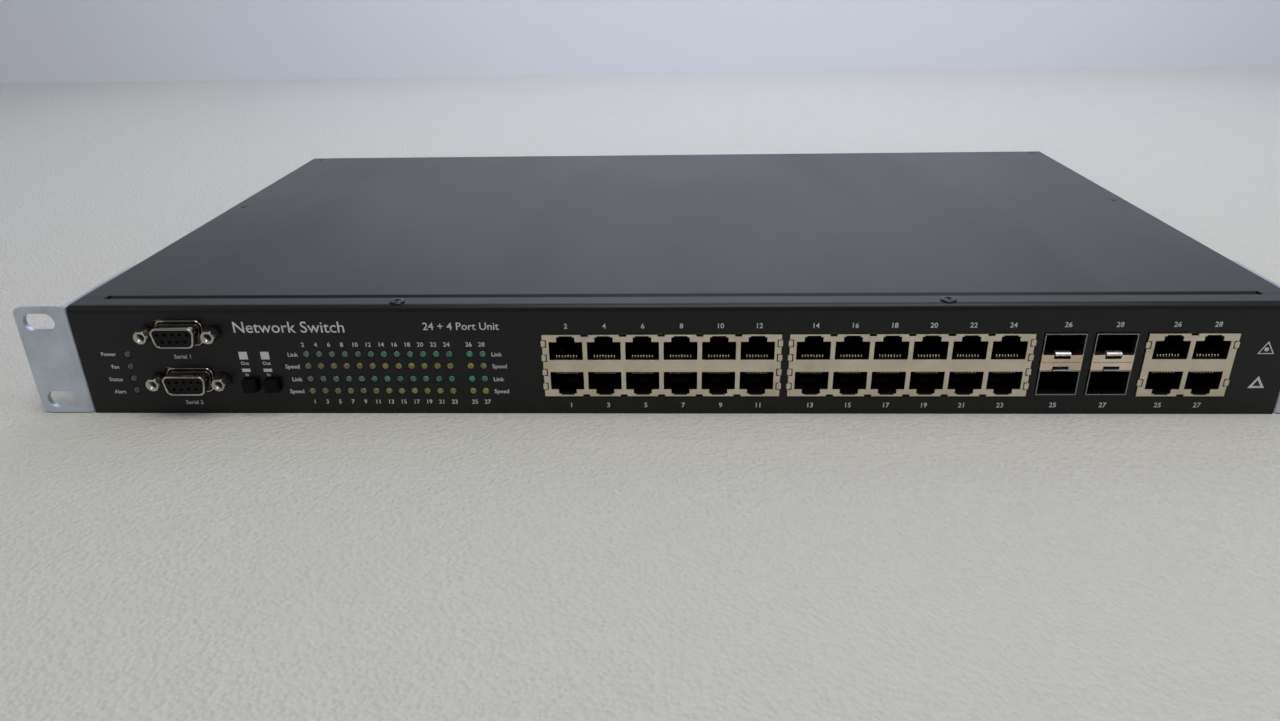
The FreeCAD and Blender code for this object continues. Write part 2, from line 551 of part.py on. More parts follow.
def port_block(letter, middle, width, first, columns):
    # moulded housings, one per pair of stacked sockets, inside one thin metal shield
    span = "%d * portPitch" % (columns - 1)
    face = FRONT + " - proud"
    housings = new_body("port_housings_" + letter)
    profile = new_sketch(housings, "HousingProfile" + letter.title(), "YZ_Plane", first)
    skin = "shieldSkin"
    start = face + " + " + skin
    cavity = face + " + cavityDeep"
    low, high = "blockLow + " + skin, "blockHigh - " + skin
    add_outline(profile, [
        (start, low), (face + " + blockDeep", low), (face + " + blockDeep", high), (start, high),
        (start, "portUpperZ + portTall"), (cavity, "portUpperZ + portTall"), (cavity, "portUpperZ"),
        (start, "portUpperZ"), (start, "portLowerZ + portTall"), (cavity, "portLowerZ + portTall"),
        (cavity, "portLowerZ"), (start, "portLowerZ")])
    module = pad(housings, profile, "portPitch - divider - 0.04", symmetric=True)
    latch = new_sketch(housings, "LatchWays" + letter.title(), "XZ_Plane", "-(%s)" % start)
    add_rectangle(latch, first + " - latchWidth / 2", "portUpperZ + portTall - 0.1",
                  first + " + latchWidth / 2", "portUpperZ + portTall + latchRise")
    add_rectangle(latch, first + " - latchWidth / 2", "portLowerZ - latchRise",
                  first + " + latchWidth / 2", "portLowerZ + 0.1")
    ways = pocket(housings, latch, "latchDeep")
    pattern(housings, [module, ways], latch, columns, span)

    shield = new_body("port_shield_" + letter)
    shell = new_sketch(shield, "ShieldShell" + letter.title(), "XZ_Plane", "-(%s)" % face)
    add_rectangle(shell, "%s - %s / 2" % (middle, width), "blockLow",
                  "%s + %s / 2" % (middle, width), "blockHigh")
    pad(shield, shell, "blockDeep + " + skin, backwards=True)
    hollow = new_sketch(shield, "ShieldHollow" + letter.title(), "XZ_Plane", "-(%s)" % start)
    add_rectangle(hollow, "%s - %s / 2 + %s" % (middle, width, skin), low,
                  "%s + %s / 2 - %s" % (middle, width, skin), high)
    pocket(shield, hollow, "blockDeep + 2")
    tabs = new_sketch(shield, "ShieldTabs" + letter.title(), "XZ_Plane", "-(%s)" % face)
    heights = ("11.7", "17.4", "23.2", "28.9") if columns > 2 else ("13", "28")
    for up in heights:
        for way in (-1, 1):
            edge = "%s %s %s / 2" % (middle, "+" if way > 0 else "-", width)
            add_rectangle(tabs, edge + (" - 0.1" if way > 0 else " - tabWide"), up + " - tabTall / 2",
                          edge + (" + tabWide" if way > 0 else " + 0.1"), up + " + tabTall / 2")
    pad(shield, tabs, skin, backwards=True)
    gaps = new_sketch(shield, "ShieldTabGaps" + letter.title(), "XZ_Plane", "-(%s)" % face)
    for up in heights:
        for way in ("+", "-"):
            add_tab_gap(gaps, "%s %s %s / 2" % (middle, way, width), "-" if way == "+" else "+", up)
    pocket(shield, gaps, skin)
    mouths = new_sketch(shield, "ShieldMouths" + letter.title(), "XZ_Plane", "-(%s)" % face)
    half, latch_half = first + " %s portWidth / 2", first + " %s latchWidth / 2"
    left, right = half % "-", half % "+"
    inner_left, inner_right = latch_half % "-", latch_half % "+"
    key_left, key_right = inner_left + " + latchKey", inner_right + " - latchKey"
    for base, edge, way in (("portUpperZ", "portUpperZ + portTall", " + "),
                            ("portLowerZ + portTall", "portLowerZ", " - ")):
        rise, key = edge + way + "latchRise", edge + way + "(latchRise + 0.5)"
        add_outline(mouths, [
            (left, base), (right, base), (right, edge), (inner_right, edge), (inner_right, rise),
            (key_right, rise), (key_right, key), (key_left, key), (key_left, rise),
            (inner_left, rise), (inner_left, edge), (left, edge)])
    opening = pocket(shield, mouths, skin + " + 0.1")
    pattern(shield, [opening], mouths, columns, span)
    notches = new_sketch(shield, "ShieldNotches" + letter.title(), "XZ_Plane", "-(%s)" % face)
    between = "(%s + portPitch / 2)" % first
    for low, high in (("blockLow - 1", "blockLow + notchTall"), ("blockHigh - notchTall", "blockHigh + 1")):
        add_rectangle(notches, between + " - notchWide / 2", low, between + " + notchWide / 2", high)
    notch = pocket(shield, notches, "notchDeep")
    if columns > 2:
        pattern(shield, [notch], notches, columns - 1, "%d * portPitch" % (columns - 2))

    plates, wires = [], []
    deep = size("blockDeep")
    y_face = front - size("proud") + size("shieldSkin")
    y_back = front - size("proud") + deep
    z_low, z_high = size("blockLow") + 0.32, size("blockHigh") - 0.32
    block_left = number("%s - %s / 2 + shieldSkin" % (middle, width))
    block_right = number("%s + %s / 2 - shieldSkin" % (middle, width))
    for index in range(columns + 1):
        centre = number(first) + (index - 0.5) * size("portPitch")
        left_edge = block_left + 0.02 if index == 0 else centre - size("divider") / 2
        right_edge = block_right - 0.02 if index == columns else centre + size("divider") / 2
        plates.append(brick((left_edge, y_face + 0.02, z_low), (right_edge, y_back, z_high)))
    for index in range(columns):
        centre = number(first) + index * size("portPitch")
        for contact in range(8):
            across = centre + (contact - 3.5) * size("contactPitch")
            for upper in (True, False):
                wires.append(port_contact(across, upper))
    return plates, wires


def add_tab_gap(sketch, edge, inward, up):
    # a C-shaped gap that parts a spring tab from the shield's face on three sides
    shallow = "%s %s shieldSkin" % (edge, inward)
    inner = "%s %s tabInset" % (edge, inward)
    deep = "%s %s (tabInset + tabGap)" % (edge, inward)
    low, high = up + " - tabTall / 2", up + " + tabTall / 2"
    add_outline(sketch, [
        (shallow, low), (inner, low), (inner, high), (shallow, high), (shallow, high + " + tabGap"),
        (deep, high + " + tabGap"), (deep, low + " - tabGap"), (shallow, low + " - tabGap")])


def port_contact(across, upper):
    # a sprung wire: bent over at the socket's mouth, then rising towards the back
    wide = size("contactWide")
    base = size("portUpperZ") if upper else size("portLowerZ") + size("portTall")
    away = 1 if upper else -1
    y_face = front - size("proud")
    outline = [(1.3, 0.05), (1.2, 1.0), (1.4, 1.35), (1.8, 1.5), (11.6, 2.6),
               (11.7, 2.2), (1.95, 1.1), (1.7, 0.9), (1.75, 0.05)]
    corners = [V(across - wide / 2, y_face + deep, base + away * rise) for deep, rise in outline]
    face = Part.Face(Part.makePolygon(corners + corners[:1]))
    return face.extrude(V(wide, 0, 0))


def network_sockets():
    plates = []
    for letter, middle, width, first, columns in (
            ("a", "blockAX", "blockWidth", "firstA", 6), ("b", "blockBX", "blockWidth", "firstB", 6),
            ("combo", "comboX", "comboWidth", "firstCombo", 2)):
        block_plates, wires = port_block(letter, middle, width, first, columns)
        plates += block_plates
        new_solids("port_contacts_" + letter, wires)
    new_solids("port_dividers", plates)


def transceiver_cage(name, middle):
    # two stacked slots in one folded cage, with a double bar and latch mouths between them
    body = new_body(name)
    tag = plain_tag(name)
    face = FRONT + " - proud"
    shell = new_sketch(body, tag + "Shell", "XZ_Plane", "-(%s)" % face)
    left, right = "%s - cageWidth / 2" % middle, "%s + cageWidth / 2" % middle
    add_rectangle(shell, left, "cageLow", right, "cageHigh")
    pad(body, shell, "cageDeep", backwards=True)
    slots = new_sketch(body, tag + "Slots", "XZ_Plane", "-(%s)" % face)
    inner_left, inner_right = left + " + cageWall", right + " - cageWall"
    add_rectangle(slots, inner_left, "cageUpperLow", inner_right, "cageHigh - cageWall")
    add_rectangle(slots, inner_left, "cageLow + cageWall", inner_right, "cageLowerTop")
    pocket(body, slots, "cageDeep - 1")
    latches = new_sketch(body, tag + "Latches", "XZ_Plane", "-(%s)" % face)
    latch_left, latch_right = middle + " - lipHalf - 0.2", middle + " + lipHalf + 0.2"
    add_rectangle(latches, latch_left, "cageUpperLow - latchTall", latch_right, "cageUpperLow + 0.1")
    add_rectangle(latches, latch_left, "cageLowerTop - 0.1", latch_right, "cageLowerTop + 2")
    add_rectangle(latches, inner_left, "cageBarSplit - 0.08", inner_right, "cageBarSplit + 0.08")
    pocket(body, latches, "lipDeep")


def cage_fittings():
    # latch lips at each slot's mouth and the connector at its far end
    lips, connectors = [], []
    y_face = front - size("proud")
    inner = size("cageWidth") / 2 - size("cageWall") - 0.05
    for step in (0, 1):
        middle = size("cageX") + step * size("cagePitch")
        left, right = middle - size("lipHalf"), middle + size("lipHalf")
        upper, lower = size("cageUpperLow") - 0.15, size("cageLowerTop") + 0.15
        for low, high in ((upper, upper + size("lipTall")), (lower, lower + 0.75)):
            lips.append(brick((left, y_face - size("lipProud"), low),
                              (right, y_face + size("lipDeep"), high)))
        for low in (size("cageLow") + size("cageWall") + 0.05, size("cageUpperLow") + 0.05):
            y_back = y_face + size("cageDeep") - 1.05
            connectors.append(brick((middle - inner, y_back - 9, low), (middle + inner, y_back, low + 6)))
    new_solids("cage_latch_lips", lips)
    new_solids("cage_connectors", connectors)


# serial sockets

def trapezoid(centre_z, wide, tall, lean, y_start, length, radius):
    # the rounded D outline of a serial shell, wide side up
    middle = size("serialX")
    top, low = wide / 2, wide / 2 - lean
    corners = [V(middle - low, y_start, centre_z - tall / 2), V(middle + low, y_start, centre_z - tall / 2),
               V(middle + top, y_start, centre_z + tall / 2), V(middle - top, y_start, centre_z + tall / 2)]
    solid = Part.Face(Part.makePolygon(corners + corners[:1])).extrude(V(0, length, 0))
    rails = [edge for edge in solid.Edges if abs(edge.tangentAt(edge.FirstParameter).y) > 0.9]
    return solid.makeFillet(radius, rails)


def serial_socket(name, height):
    centre_z = size(height)
    wide, tall, lean = size("shellWidth"), size("shellTall"), size("shellLean")
    tip = front - size("shellProud")
    behind = front + metal
    outer = trapezoid(centre_z, wide, tall, lean, tip, size("shellProud") + metal + 1, 2.2)
    inner = trapezoid(centre_z, wide - 0.8, tall - 0.8, lean, tip - 1, 12, 1.8)
    middle, half, rise = size("serialX"), size("serialFlangeWide") / 2, size("serialFlangeTall") / 2
    flange = brick((middle - half, behind, centre_z - rise), (middle + half, behind + 0.8, centre_z + rise))
    collar_wide, collar_tall, proud = size("collarWide"), size("collarTall"), size("collarProud")
    collar = trapezoid(centre_z, collar_wide, collar_tall, lean, front - proud, metal + proud + 0.4, 3.0)
    bore = trapezoid(centre_z, collar_wide - 0.9, collar_tall - 0.9, lean, front - 1, metal + 3, 2.6)
    shell = flange.fuse(outer).fuse(collar.cut(bore)).cut(inner)
    insert = trapezoid(centre_z, wide - 1.0, tall - 1.0, lean, tip + 0.35, size("shellProud") + 12, 1.7)
    pitch = size("serialHolePitch")
    holes = [(pitch * (k - 2), 1.42) for k in range(5)] + [(pitch * (k - 1.5), -1.42) for k in range(4)]
    for across, up in holes:
        insert = insert.cut(rod((middle + across, tip, centre_z + up), size("serialHoleR"), 5, (0, 1, 0)))
    for offset in (-size("nutSpacing") / 2, size("nutSpacing") / 2):
        shell = shell.cut(rod((middle + offset, behind - 1, centre_z), 1.7, 3, (0, 1, 0)))
    new_solids(name + "_shell", [shell])
    new_solids(name + "_insert", [insert])


def serial_sockets():
    serial_socket("alarm_port", "alarmZ")
    serial_socket("console_port", "consoleZ")
    nuts, washers = [], []
    for centre_z in (size("alarmZ"), size("consoleZ")):
        for offset in (-size("nutSpacing") / 2, size("nutSpacing") / 2):
            seat = (size("serialX") + offset, front - size("washerThick"), centre_z)
            head = hexagon(seat, size("nutFlat"), size("nutProud") - size("washerThick"), (0, -1, 0))
            stud = rod(seat, 1.6, 6, (0, 1, 0))
            bore = rod((seat[0], front - size("nutProud") - 1, seat[2]), size("nutBore"), 6.5, (0, 1, 0))
            nuts.append(head.fuse(stud).cut(bore))
            disc = rod(seat, size("washerR"), size("washerThick"), (0, 1, 0))
            washers.append(disc.cut(rod(seat, 1.65, 1, (0, 1, 0))))
    new_solids("serial_jack_nuts", nuts)
    new_solids("serial_lock_washers", washers)


# lights and buttons

def led_rows(name, low, high):
    body = new_body(name)
    start = "-(%s - ledProud)" % FRONT
    for label, first, step, count in LED_RUNS:
        disc = new_sketch(body, plain_tag(name) + label, "XZ_Plane", start)
        add_circle(disc, first, low, "ledR")
        lens = pad(body, disc, "ledLong", backwards=True)
        doc.recompute()
        dome = body.newObject("PartDesign::Fillet", disc.Name + "Dome")
        tip = V(number(first), number(FRONT + " - ledProud"), number(low))
        dome.Base = (lens, [
            "Edge%d" % (index + 1) for index, edge in enumerate(lens.Shape.Edges)
            if isinstance(edge.Curve, Part.Circle) and edge.CenterOfMass.distanceToPoint(tip) < 0.01])
        dome.Radius = number("ledDome")
        dome.setExpression("Radius", bound("ledDome"))
        pattern(body, [lens, dome], disc, count, "%d * %s" % (count - 1, step), 2, "%s - %s" % (high, low))


def lights():
    led_rows("link_leds", "linkLowZ", "linkTopZ")
    led_rows("speed_leds", "speedLowZ", "speedTopZ")
    lenses = []
    for step in range(4):
        up = size("statusLowZ") + step * size("statusPitch")
        centre = (size("statusX"), front - size("ledProud"), up)
        lens = rod(centre, size("ledR"), size("ledLong"), (0, 1, 0))
        tip = [edge for edge in lens.Edges if isinstance(edge.Curve, Part.Circle)
               and abs(edge.CenterOfMass.y - centre[1]) < 0.01]
        lenses.append(lens.makeFillet(size("ledDome"), tip))
    new_solids("status_leds", lenses)
    behind = FRONT + " - ledProud + ledLong + 0.02"
    board_low, board_back = "boardTop + 0.5", behind + " + board"
    blank = new_block("DisplayBlank", ("-165", behind, board_low), ("-62", board_back, "37"))
    ways = [new_rod("StemWay%d" % index, (middle, behind + " - 1", "buttonZ"), "1.6", "board + 2")
            for index, middle in enumerate(("roleX", "uplinkX"))]
    new_cut("display_board", blank, ways)
    status = new_block("status_board", ("statusX - 5", behind, board_low),
                       ("statusX + 5", board_back, "30"))
    keep_node(status, "status_board")


def push_button(name, middle):
    # cap, collar behind the panel that stops it, and a stem into its switch
    body = new_body(name)
    tag = plain_tag(name)
    cap = new_sketch(body, tag + "Cap", "XZ_Plane", "-(%s - buttonProud)" % FRONT)
    half = "buttonWide / 2"
    add_rectangle(cap, middle + " - " + half, "buttonZ - buttonTall / 2",
                  middle + " + " + half, "buttonZ + buttonTall / 2")
    block = pad(body, cap, "buttonProud + metal + 0.4", backwards=True)
    tip = number(FRONT + " - buttonProud")
    round_edges(body, block, "buttonRound", lambda mid, way: abs(mid.y - tip) < 0.01 or abs(way.y) > 0.9)
    collar = new_sketch(body, tag + "Collar", "XZ_Plane", "-(%s + metal + 0.1)" % FRONT)
    add_rectangle(collar, middle + " - stopWide / 2", "buttonZ - stopTall / 2",
                  middle + " + stopWide / 2", "buttonZ + stopTall / 2")
    pad(body, collar, "stopThick", backwards=True)
    stem = new_sketch(body, tag + "Stem", "XZ_Plane", "-(%s + metal + stopThick)" % FRONT)
    add_circle(stem, middle, "buttonZ", "stemR")
    pad(body, stem, "stemLong", backwards=True)


def buttons():
    push_button("role_button", "roleX")
    push_button("uplink_button", "uplinkX")
    switches = []
    for alias in ("roleX", "uplinkX"):
        y_board = front - size("ledProud") + size("ledLong") + 0.02 + size("board")
        low = (size(alias) - 3.5, y_board + 0.02, size("buttonZ") - 3.5)
        high = (size(alias) + 3.5, y_board + 9, size("buttonZ") + 3.5)
        well = rod((size(alias), y_board - 1, size("buttonZ")), 1.5, 8, (0, 1, 0))
        switches.append(brick(low, high).cut(well))
    new_solids("push_switches", switches)


# boards and their parts

def main_board():
    blank = new_block("MainBoardBlank", ("-boardHalf", "boardFront", "boardTop - board"),
                      ("boardHalf", "boardBack", "boardTop"))
    places = standoff_places()
    new_cut("main_board", blank, board_holes("MainBoardHole", places))
    standoffs, screws = [], []
    flat, top = size("standoffFlat"), size("boardTop")
    for across, along in places + power_board_corners():
        pillar = hexagon((across, along, metal), flat, top - size("board") - metal, (0, 0, 1))
        standoffs.append(pillar.cut(rod((across, along, metal + 1), size("screwR"), top, (0, 0, 1))))
        head = rod((across, along, top), 2.7, 1.6, (0, 0, 1))
        slot = rod((across, along, top + 1.6), 1.0, 0.9, (0, 0, -1))
        screws.append(head.fuse(rod((across, along, top), size("screwR") - 0.05, 4, (0, 0, -1))).cut(slot))
    new_solids("board_standoffs", standoffs)
    new_solids("board_screws", screws)


def board_holes(name, places):
    return [new_rod("%s%d" % (name, index), (str(across), str(along), "boardTop - board - 1"),
                    "screwR + 0.1", "board + 2", "Z") for index, (across, along) in enumerate(places)]


def standoff_places():
    return [(across, along) for across in (-206, -60, 33, 132, 206) for along in (-92, 16)
            if not (across == 132 and along == -92)]


def power_board_corners():
    inset = 6
    return [(across, along) for across in (size("powerLeft") + inset, size("powerRight") - inset)
            for along in (size("powerFront") + inset, size("powerBack") - inset)]


def board_parts():
    top = size("boardTop") + 0.01
    chips, sinks, magnetics, cans = [], [], [], []
    # chips: middle across, middle along, width
    for across, along, wide in (
            (-12, -48, 31), (52, -48, 31), (112, -40, 27), (-150, -40, 23), (-110, -20, 15)):
        half = wide / 2
        chips.append(brick((across - half, along - half, top), (across + half, along + half, top + 2.4)))
    for across in (-12, 52):
        plate = brick((across - 18, -66, top + 2.42), (across + 18, -30, top + 5))
        for fin in range(10):
            left = across - 18 + fin * 3.85
            plate = plate.fuse(brick((left, -66, top + 4.9), (left + 1.3, -30, top + 15)))
        sinks.append(plate)
    for index in range(6):
        across = -36 + index * 27.5
        magnetics.append(brick((across - 9, -95, top), (across + 9, -82, top + 6)))
    # cans: place across, place along, radius, height
    for across, along, radius, tall in (
            (-190, -80, 4, 12), (-178, -80, 4, 12), (-190, -60, 5, 14), (-90, 6, 4, 12), (-76, 6, 4, 12),
            (150, -60, 4, 12), (162, -60, 4, 12)):
        cans.append(rod((across, along, top), radius, tall, (0, 0, 1)))
    new_solids("switch_chips", chips)
    new_solids("chip_heatsinks", sinks)
    new_solids("port_transformers", magnetics)
    new_solids("board_capacitors", cans)


def power_supply():
    blank = new_block("PowerBoardBlank", ("powerLeft", "powerFront", "boardTop - board"),
                      ("powerRight", "powerBack", "boardTop"))
    new_cut("power_board", blank, board_holes("PowerBoardHole", power_board_corners()))
    top = size("boardTop") + 0.01
    core = brick((116, 56, top), (150, 84, top + 22))
    winding = brick((120, 51, top + 3), (146, 89, top + 19))
    new_solids("power_transformer", [core.fuse(winding)])
    cans = [rod((78 + 20 * k, 88, top), 8, 26, (0, 0, 1)) for k in range(2)]
    cans += [rod((176, 46 + 14 * k, top), 5, 20, (0, 0, 1)) for k in range(3)]
    new_solids("power_capacitors", cans)
    plate = brick((74, 42, top), (106, 44.5, top + 27))
    for fin in range(6):
        left = 74 + fin * 5.6
        plate = plate.fuse(brick((left, 44.4, top + 3), (left + 1.6, 56, top + 27)))
    new_solids("power_heatsink", [plate])


def power_inlet():
    # three-pin appliance inlet: flange outside the wall, moulded body through it
    face = REAR
    flange = new_block("InletFlange", ("inletX - inletFlange / 2", face, "inletZ - inletFlangeTall / 2"),
                       ("inletX + inletFlange / 2", face + " + 2.5", "inletZ + inletFlangeTall / 2"))
    shell = new_block("InletShell",
                      ("inletX - inletWide / 2", face + " - inletDeep", "inletZ - inletTall / 2"),
                      ("inletX + inletWide / 2", face + " + 1", "inletZ + inletTall / 2"))
    whole = new_fuse("InletWhole", [flange, shell])
    recess = new_block("InletRecess", ("inletX - 12", face + " - 14", "inletZ - 8"),
                       ("inletX + 12", face + " + 4", "inletZ + 8"))
    screws = [new_rod("InletHole%d" % k, ("inletX %s inletScrew" % way, face + " - 1", "inletZ"),
                      "screwR + 0.1", "5") for k, way in enumerate("-+")]
    new_cut("power_inlet", whole, [recess] + screws)
    pins, fixings = [], []
    # live, earth and neutral blades
    for across, up in ((-7, -1), (0, 3), (7, -1)):
        low = (size("inletX") + across - 1, rear - size("inletDeep") - 5, size("inletZ") + up - 2)
        high = (size("inletX") + across + 1, rear + 0.5, size("inletZ") + up + 2)
        pins.append(brick(low, high))
    for sign in (-1, 1):
        place = (size("inletX") + sign * size("inletScrew"), rear + 2.5, size("inletZ"))
        fixings.append(pan_screw(place, 2.7, 1.6, 8, (0, -1, 0)))
    new_solids("inlet_pins", pins)
    new_solids("inlet_screws", fixings)
    across, up, nut_tall = size("studX"), size("studZ"), size("studNutTall")
    stud = rod((across, rear - 6, up), size("studR"), 14, (0, 1, 0))
    washer = rod((across, rear, up), 4.5, 1, (0, 1, 0))
    nut = hexagon((across, rear + 1, up), size("studNutFlat"), nut_tall, (0, 1, 0))
    inner_nut = hexagon((across, rear - metal - nut_tall, up), size("studNutFlat"), nut_tall, (0, 1, 0))
    new_solids("ground_stud", [stud.fuse(washer).fuse(nut).fuse(inner_nut)])


# fans

def fan_frame(name, middle):
    wide, deep, centre_z = size("fanWide"), size("fanDeep"), size("fanZ")
    y_back = rear - metal - 0.02
    y_front = y_back - deep
    half = wide / 2
    frame = brick((middle - half, y_front, centre_z - half), (middle + half, y_back, centre_z + half))
    rails = [edge for edge in frame.Edges if abs(edge.tangentAt(edge.FirstParameter).y) > 0.9]
    frame = frame.makeFillet(3, rails)
    frame = frame.cut(rod((middle, y_front - 1, centre_z), size("fanBore"), deep + 2, (0, 1, 0)))
    for across in (-size("fanHole"), size("fanHole")):
        for up in (-size("fanHole"), size("fanHole")):
            frame = frame.cut(rod((middle + across, y_front - 1, centre_z + up), 1.65, deep + 2, (0, 1, 0)))
    plate = rod((middle, y_front, centre_z), size("hubR") + 0.5, 2.5, (0, 1, 0))
    for turn in (90, 210, 330):
        strut = brick((-1.2, 0, size("hubR") - 1), (1.2, 2.5, size("fanBore") + 0.6))
        strut.rotate(V(0, 0, 0), V(0, 1, 0), turn)
        strut.translate(V(middle, y_front, centre_z))
        plate = plate.fuse(strut)
    frame = frame.fuse(plate)
    bore = rod((middle, y_front + 0.6, centre_z), size("shaftR") + size("shaftGap"), 4, (0, 1, 0))
    new_solids(name, [frame.cut(bore)])


def fan_rotor(name, middle):
    y_front = rear - metal - 0.02 - size("fanDeep")
    centre_z = size("fanZ")
    hub = rod((middle, y_front + 3.2, centre_z), size("hubR"), size("fanDeep") - 5.2, (0, 1, 0))
    rim = [edge for edge in hub.Edges
           if isinstance(edge.Curve, Part.Circle) and edge.CenterOfMass.y > y_front + 8]
    hub = hub.makeFillet(1.2, rim)
    shaft = rod((middle, y_front + 0.8, centre_z), size("shaftR"), 4, (0, 1, 0))
    rotor = hub.fuse(shaft)
    ring = rod((0, 0, 0), size("rotorR"), size("fanDeep"), (0, 1, 0))
    for turn in range(7):
        blade = brick((-0.6, 0, size("hubR") - 1), (0.6, 15.5, size("rotorR") + 2))
        blade.rotate(V(0, 7.75, 0), V(0, 0, 1), 38)
        blade = blade.common(ring).common(brick((-30, 1, -30), (30, 13.6, 30)))
        blade.rotate(V(0, 0, 0), V(0, 1, 0), 360 / 7 * turn)
        blade.translate(V(middle, y_front + 3.2, centre_z))
        rotor = rotor.fuse(blade)
    new_solids(name, [rotor])


def fans():
    guards, screws = [], []
    for number_on_case, alias in (("1", "fanOneX"), ("2", "fanTwoX")):
        middle = size(alias)
        fan_frame("fan_%s_frame" % number_on_case, middle)
        fan_rotor("fan_%s_rotor" % number_on_case, middle)
        wire = size("guardWire")
        y_wire = rear + wire
        centre = V(middle, y_wire, size("fanZ"))
        guard = Part.makeTorus(18, wire, centre, V(0, 1, 0))
        for radius in (14, 10, 6):
            guard = guard.fuse(Part.makeTorus(radius, wire, centre, V(0, 1, 0)))
        for turn in (45, 135):
            spoke = Part.makeCylinder(wire, 2 * 21, V(-21, 0, 0), V(1, 0, 0))
            spoke.rotate(V(0, 0, 0), V(0, 1, 0), turn)
            spoke.translate(V(middle, y_wire + wire * 0.9, size("fanZ")))
            guard = guard.fuse(spoke)
        for across in (-size("fanHole"), size("fanHole")):
            for up in (-size("fanHole"), size("fanHole")):
                corner_x, corner_z = middle + across, size("fanZ") + up
                eye = rod((corner_x, rear, corner_z), 3, 1.4 * wire, (0, 1, 0))
                guard = guard.fuse(eye).cut(rod((corner_x, rear - 1, corner_z), 1.6, 8, (0, 1, 0)))
                screws.append(pan_screw((corner_x, rear + 3 * wire, corner_z), 2.7, 1.5, 14, (0, -1, 0)))
        guards.append(guard)
    new_solids("fan_guards", guards)
    new_solids("fan_screws", screws)


def supply_wires():
    # four wires from the power board to the main board
    wires = []
    top, radius = size("boardTop"), 0.8
    for index in range(4):
        across = 77 + 4 * index
        corners = [V(across, 37, top + 5), V(across, 28, top + 9), V(across, 14, top + 5)]
        path = Part.makePolygon([V(across, 37, top)] + corners + [V(across, 14, top)])
        lengths = [Part.makeCylinder(radius, edge.Length, edge.Vertexes[0].Point, edge.tangentAt(0))
                   for edge in path.Edges]
        elbows = [Part.makeSphere(radius, corner) for corner in corners]
        wires.append(lengths[0].multiFuse(lengths[1:] + elbows))
    new_solids("supply_wires", wires)


base_tray()
front_panel()
rear_panel()
top_cover()
case_screws()
rack_ear("left_rack_ear", -1)
rack_ear("right_rack_ear", 1)
network_sockets()
transceiver_cage("left_transceiver_cage", "cageX")
transceiver_cage("right_transceiver_cage", "cageX + cagePitch")
cage_fittings()
serial_sockets()
lights()
buttons()
main_board()
board_parts()
power_supply()
power_inlet()
fans()
supply_wires()
doc.recompute()

for item in doc.Objects:
    if "Invalid" in item.State or "Error" in item.State:
        raise RuntimeError("%s failed: %s" % (item.Name, item.State))
os.makedirs("parts", exist_ok=True)
for node in nodes:
    if node.Shape.isNull() or not node.Shape.isValid():
        raise RuntimeError("bad shape in " + node.Label)
    node.Shape.exportStep("parts/%s.step" % node.Label)
print(len(nodes), "nodes written")
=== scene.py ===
import bpy
import bmesh
import json
import math
from mathutils import Matrix, Vector


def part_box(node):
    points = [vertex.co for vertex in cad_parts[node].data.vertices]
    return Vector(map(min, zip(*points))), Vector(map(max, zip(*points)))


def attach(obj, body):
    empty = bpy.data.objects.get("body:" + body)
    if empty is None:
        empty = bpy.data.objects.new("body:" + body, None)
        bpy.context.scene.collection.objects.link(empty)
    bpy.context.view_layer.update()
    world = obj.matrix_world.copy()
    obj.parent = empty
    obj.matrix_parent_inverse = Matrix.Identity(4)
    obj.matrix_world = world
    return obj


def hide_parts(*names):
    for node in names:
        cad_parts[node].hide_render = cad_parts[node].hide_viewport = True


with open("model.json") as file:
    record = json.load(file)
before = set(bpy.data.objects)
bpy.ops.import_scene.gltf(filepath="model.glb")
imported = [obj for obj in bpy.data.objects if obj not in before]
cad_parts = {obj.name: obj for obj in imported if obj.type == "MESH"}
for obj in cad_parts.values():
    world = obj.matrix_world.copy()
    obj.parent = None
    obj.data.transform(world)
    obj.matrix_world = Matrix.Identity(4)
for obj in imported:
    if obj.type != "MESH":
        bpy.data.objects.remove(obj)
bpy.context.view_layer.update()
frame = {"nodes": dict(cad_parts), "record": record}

mm = 0.001
nodes = frame["nodes"]
scene = bpy.context.scene
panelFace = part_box("front_panel")[0].y / mm      # front face of the panel, in mm


# small tools

def hexColour(text):
    # sRGB hex to the linear colour that shaders take
    parts = [int(text[k:k + 2], 16) / 255 for k in (1, 3, 5)]
    return [c / 12.92 if c <= 0.04045 else ((c + 0.055) / 1.055) ** 2.4 for c in parts] + [1.0]


def addNode(tree, kind, settings=None, links=None):
    # settings: property or input name -> value; links: input name -> (node, output name)
    node = tree.nodes.new(kind)
    for name, value in (settings or {}).items():
        if isinstance(name, str) and hasattr(node, name):
            setattr(node, name, value)
        else:
            node.inputs[name].default_value = value
    for name, source in (links or {}).items():
        tree.links.new(source[0].outputs[source[1]], node.inputs[name])
    return node


def newMaterial(name, **shaderValues):
    # a shader with its output and Object coordinates, ready for colour, roughness and bump
    material = bpy.data.materials.new(name)
    material.use_nodes = True
    tree = material.node_tree
    tree.nodes.clear()
    shader = addNode(tree, "ShaderNodeBsdfPrincipled")
    for socket, value in shaderValues.items():
        shader.inputs[socket.replace("_", " ")].default_value = value
    addNode(tree, "ShaderNodeOutputMaterial", links={"Surface": (shader, "BSDF")})
    coords = addNode(tree, "ShaderNodeTexCoord")
    return material, tree, shader, coords


def perMm(sizeMm):
    # texture scale for a feature of this size, coordinates being metres
    return 1000 / sizeMm


def colourRamp(tree, source, stops):
    ramp = addNode(tree, "ShaderNodeValToRGB", links={"Fac": source})
    for place, colour in stops[2:]:
        ramp.color_ramp.elements.new(place)
    for element, (place, colour) in zip(ramp.color_ramp.elements, stops):
        element.position = place
        element.color = hexColour(colour)
    return ramp


# materials

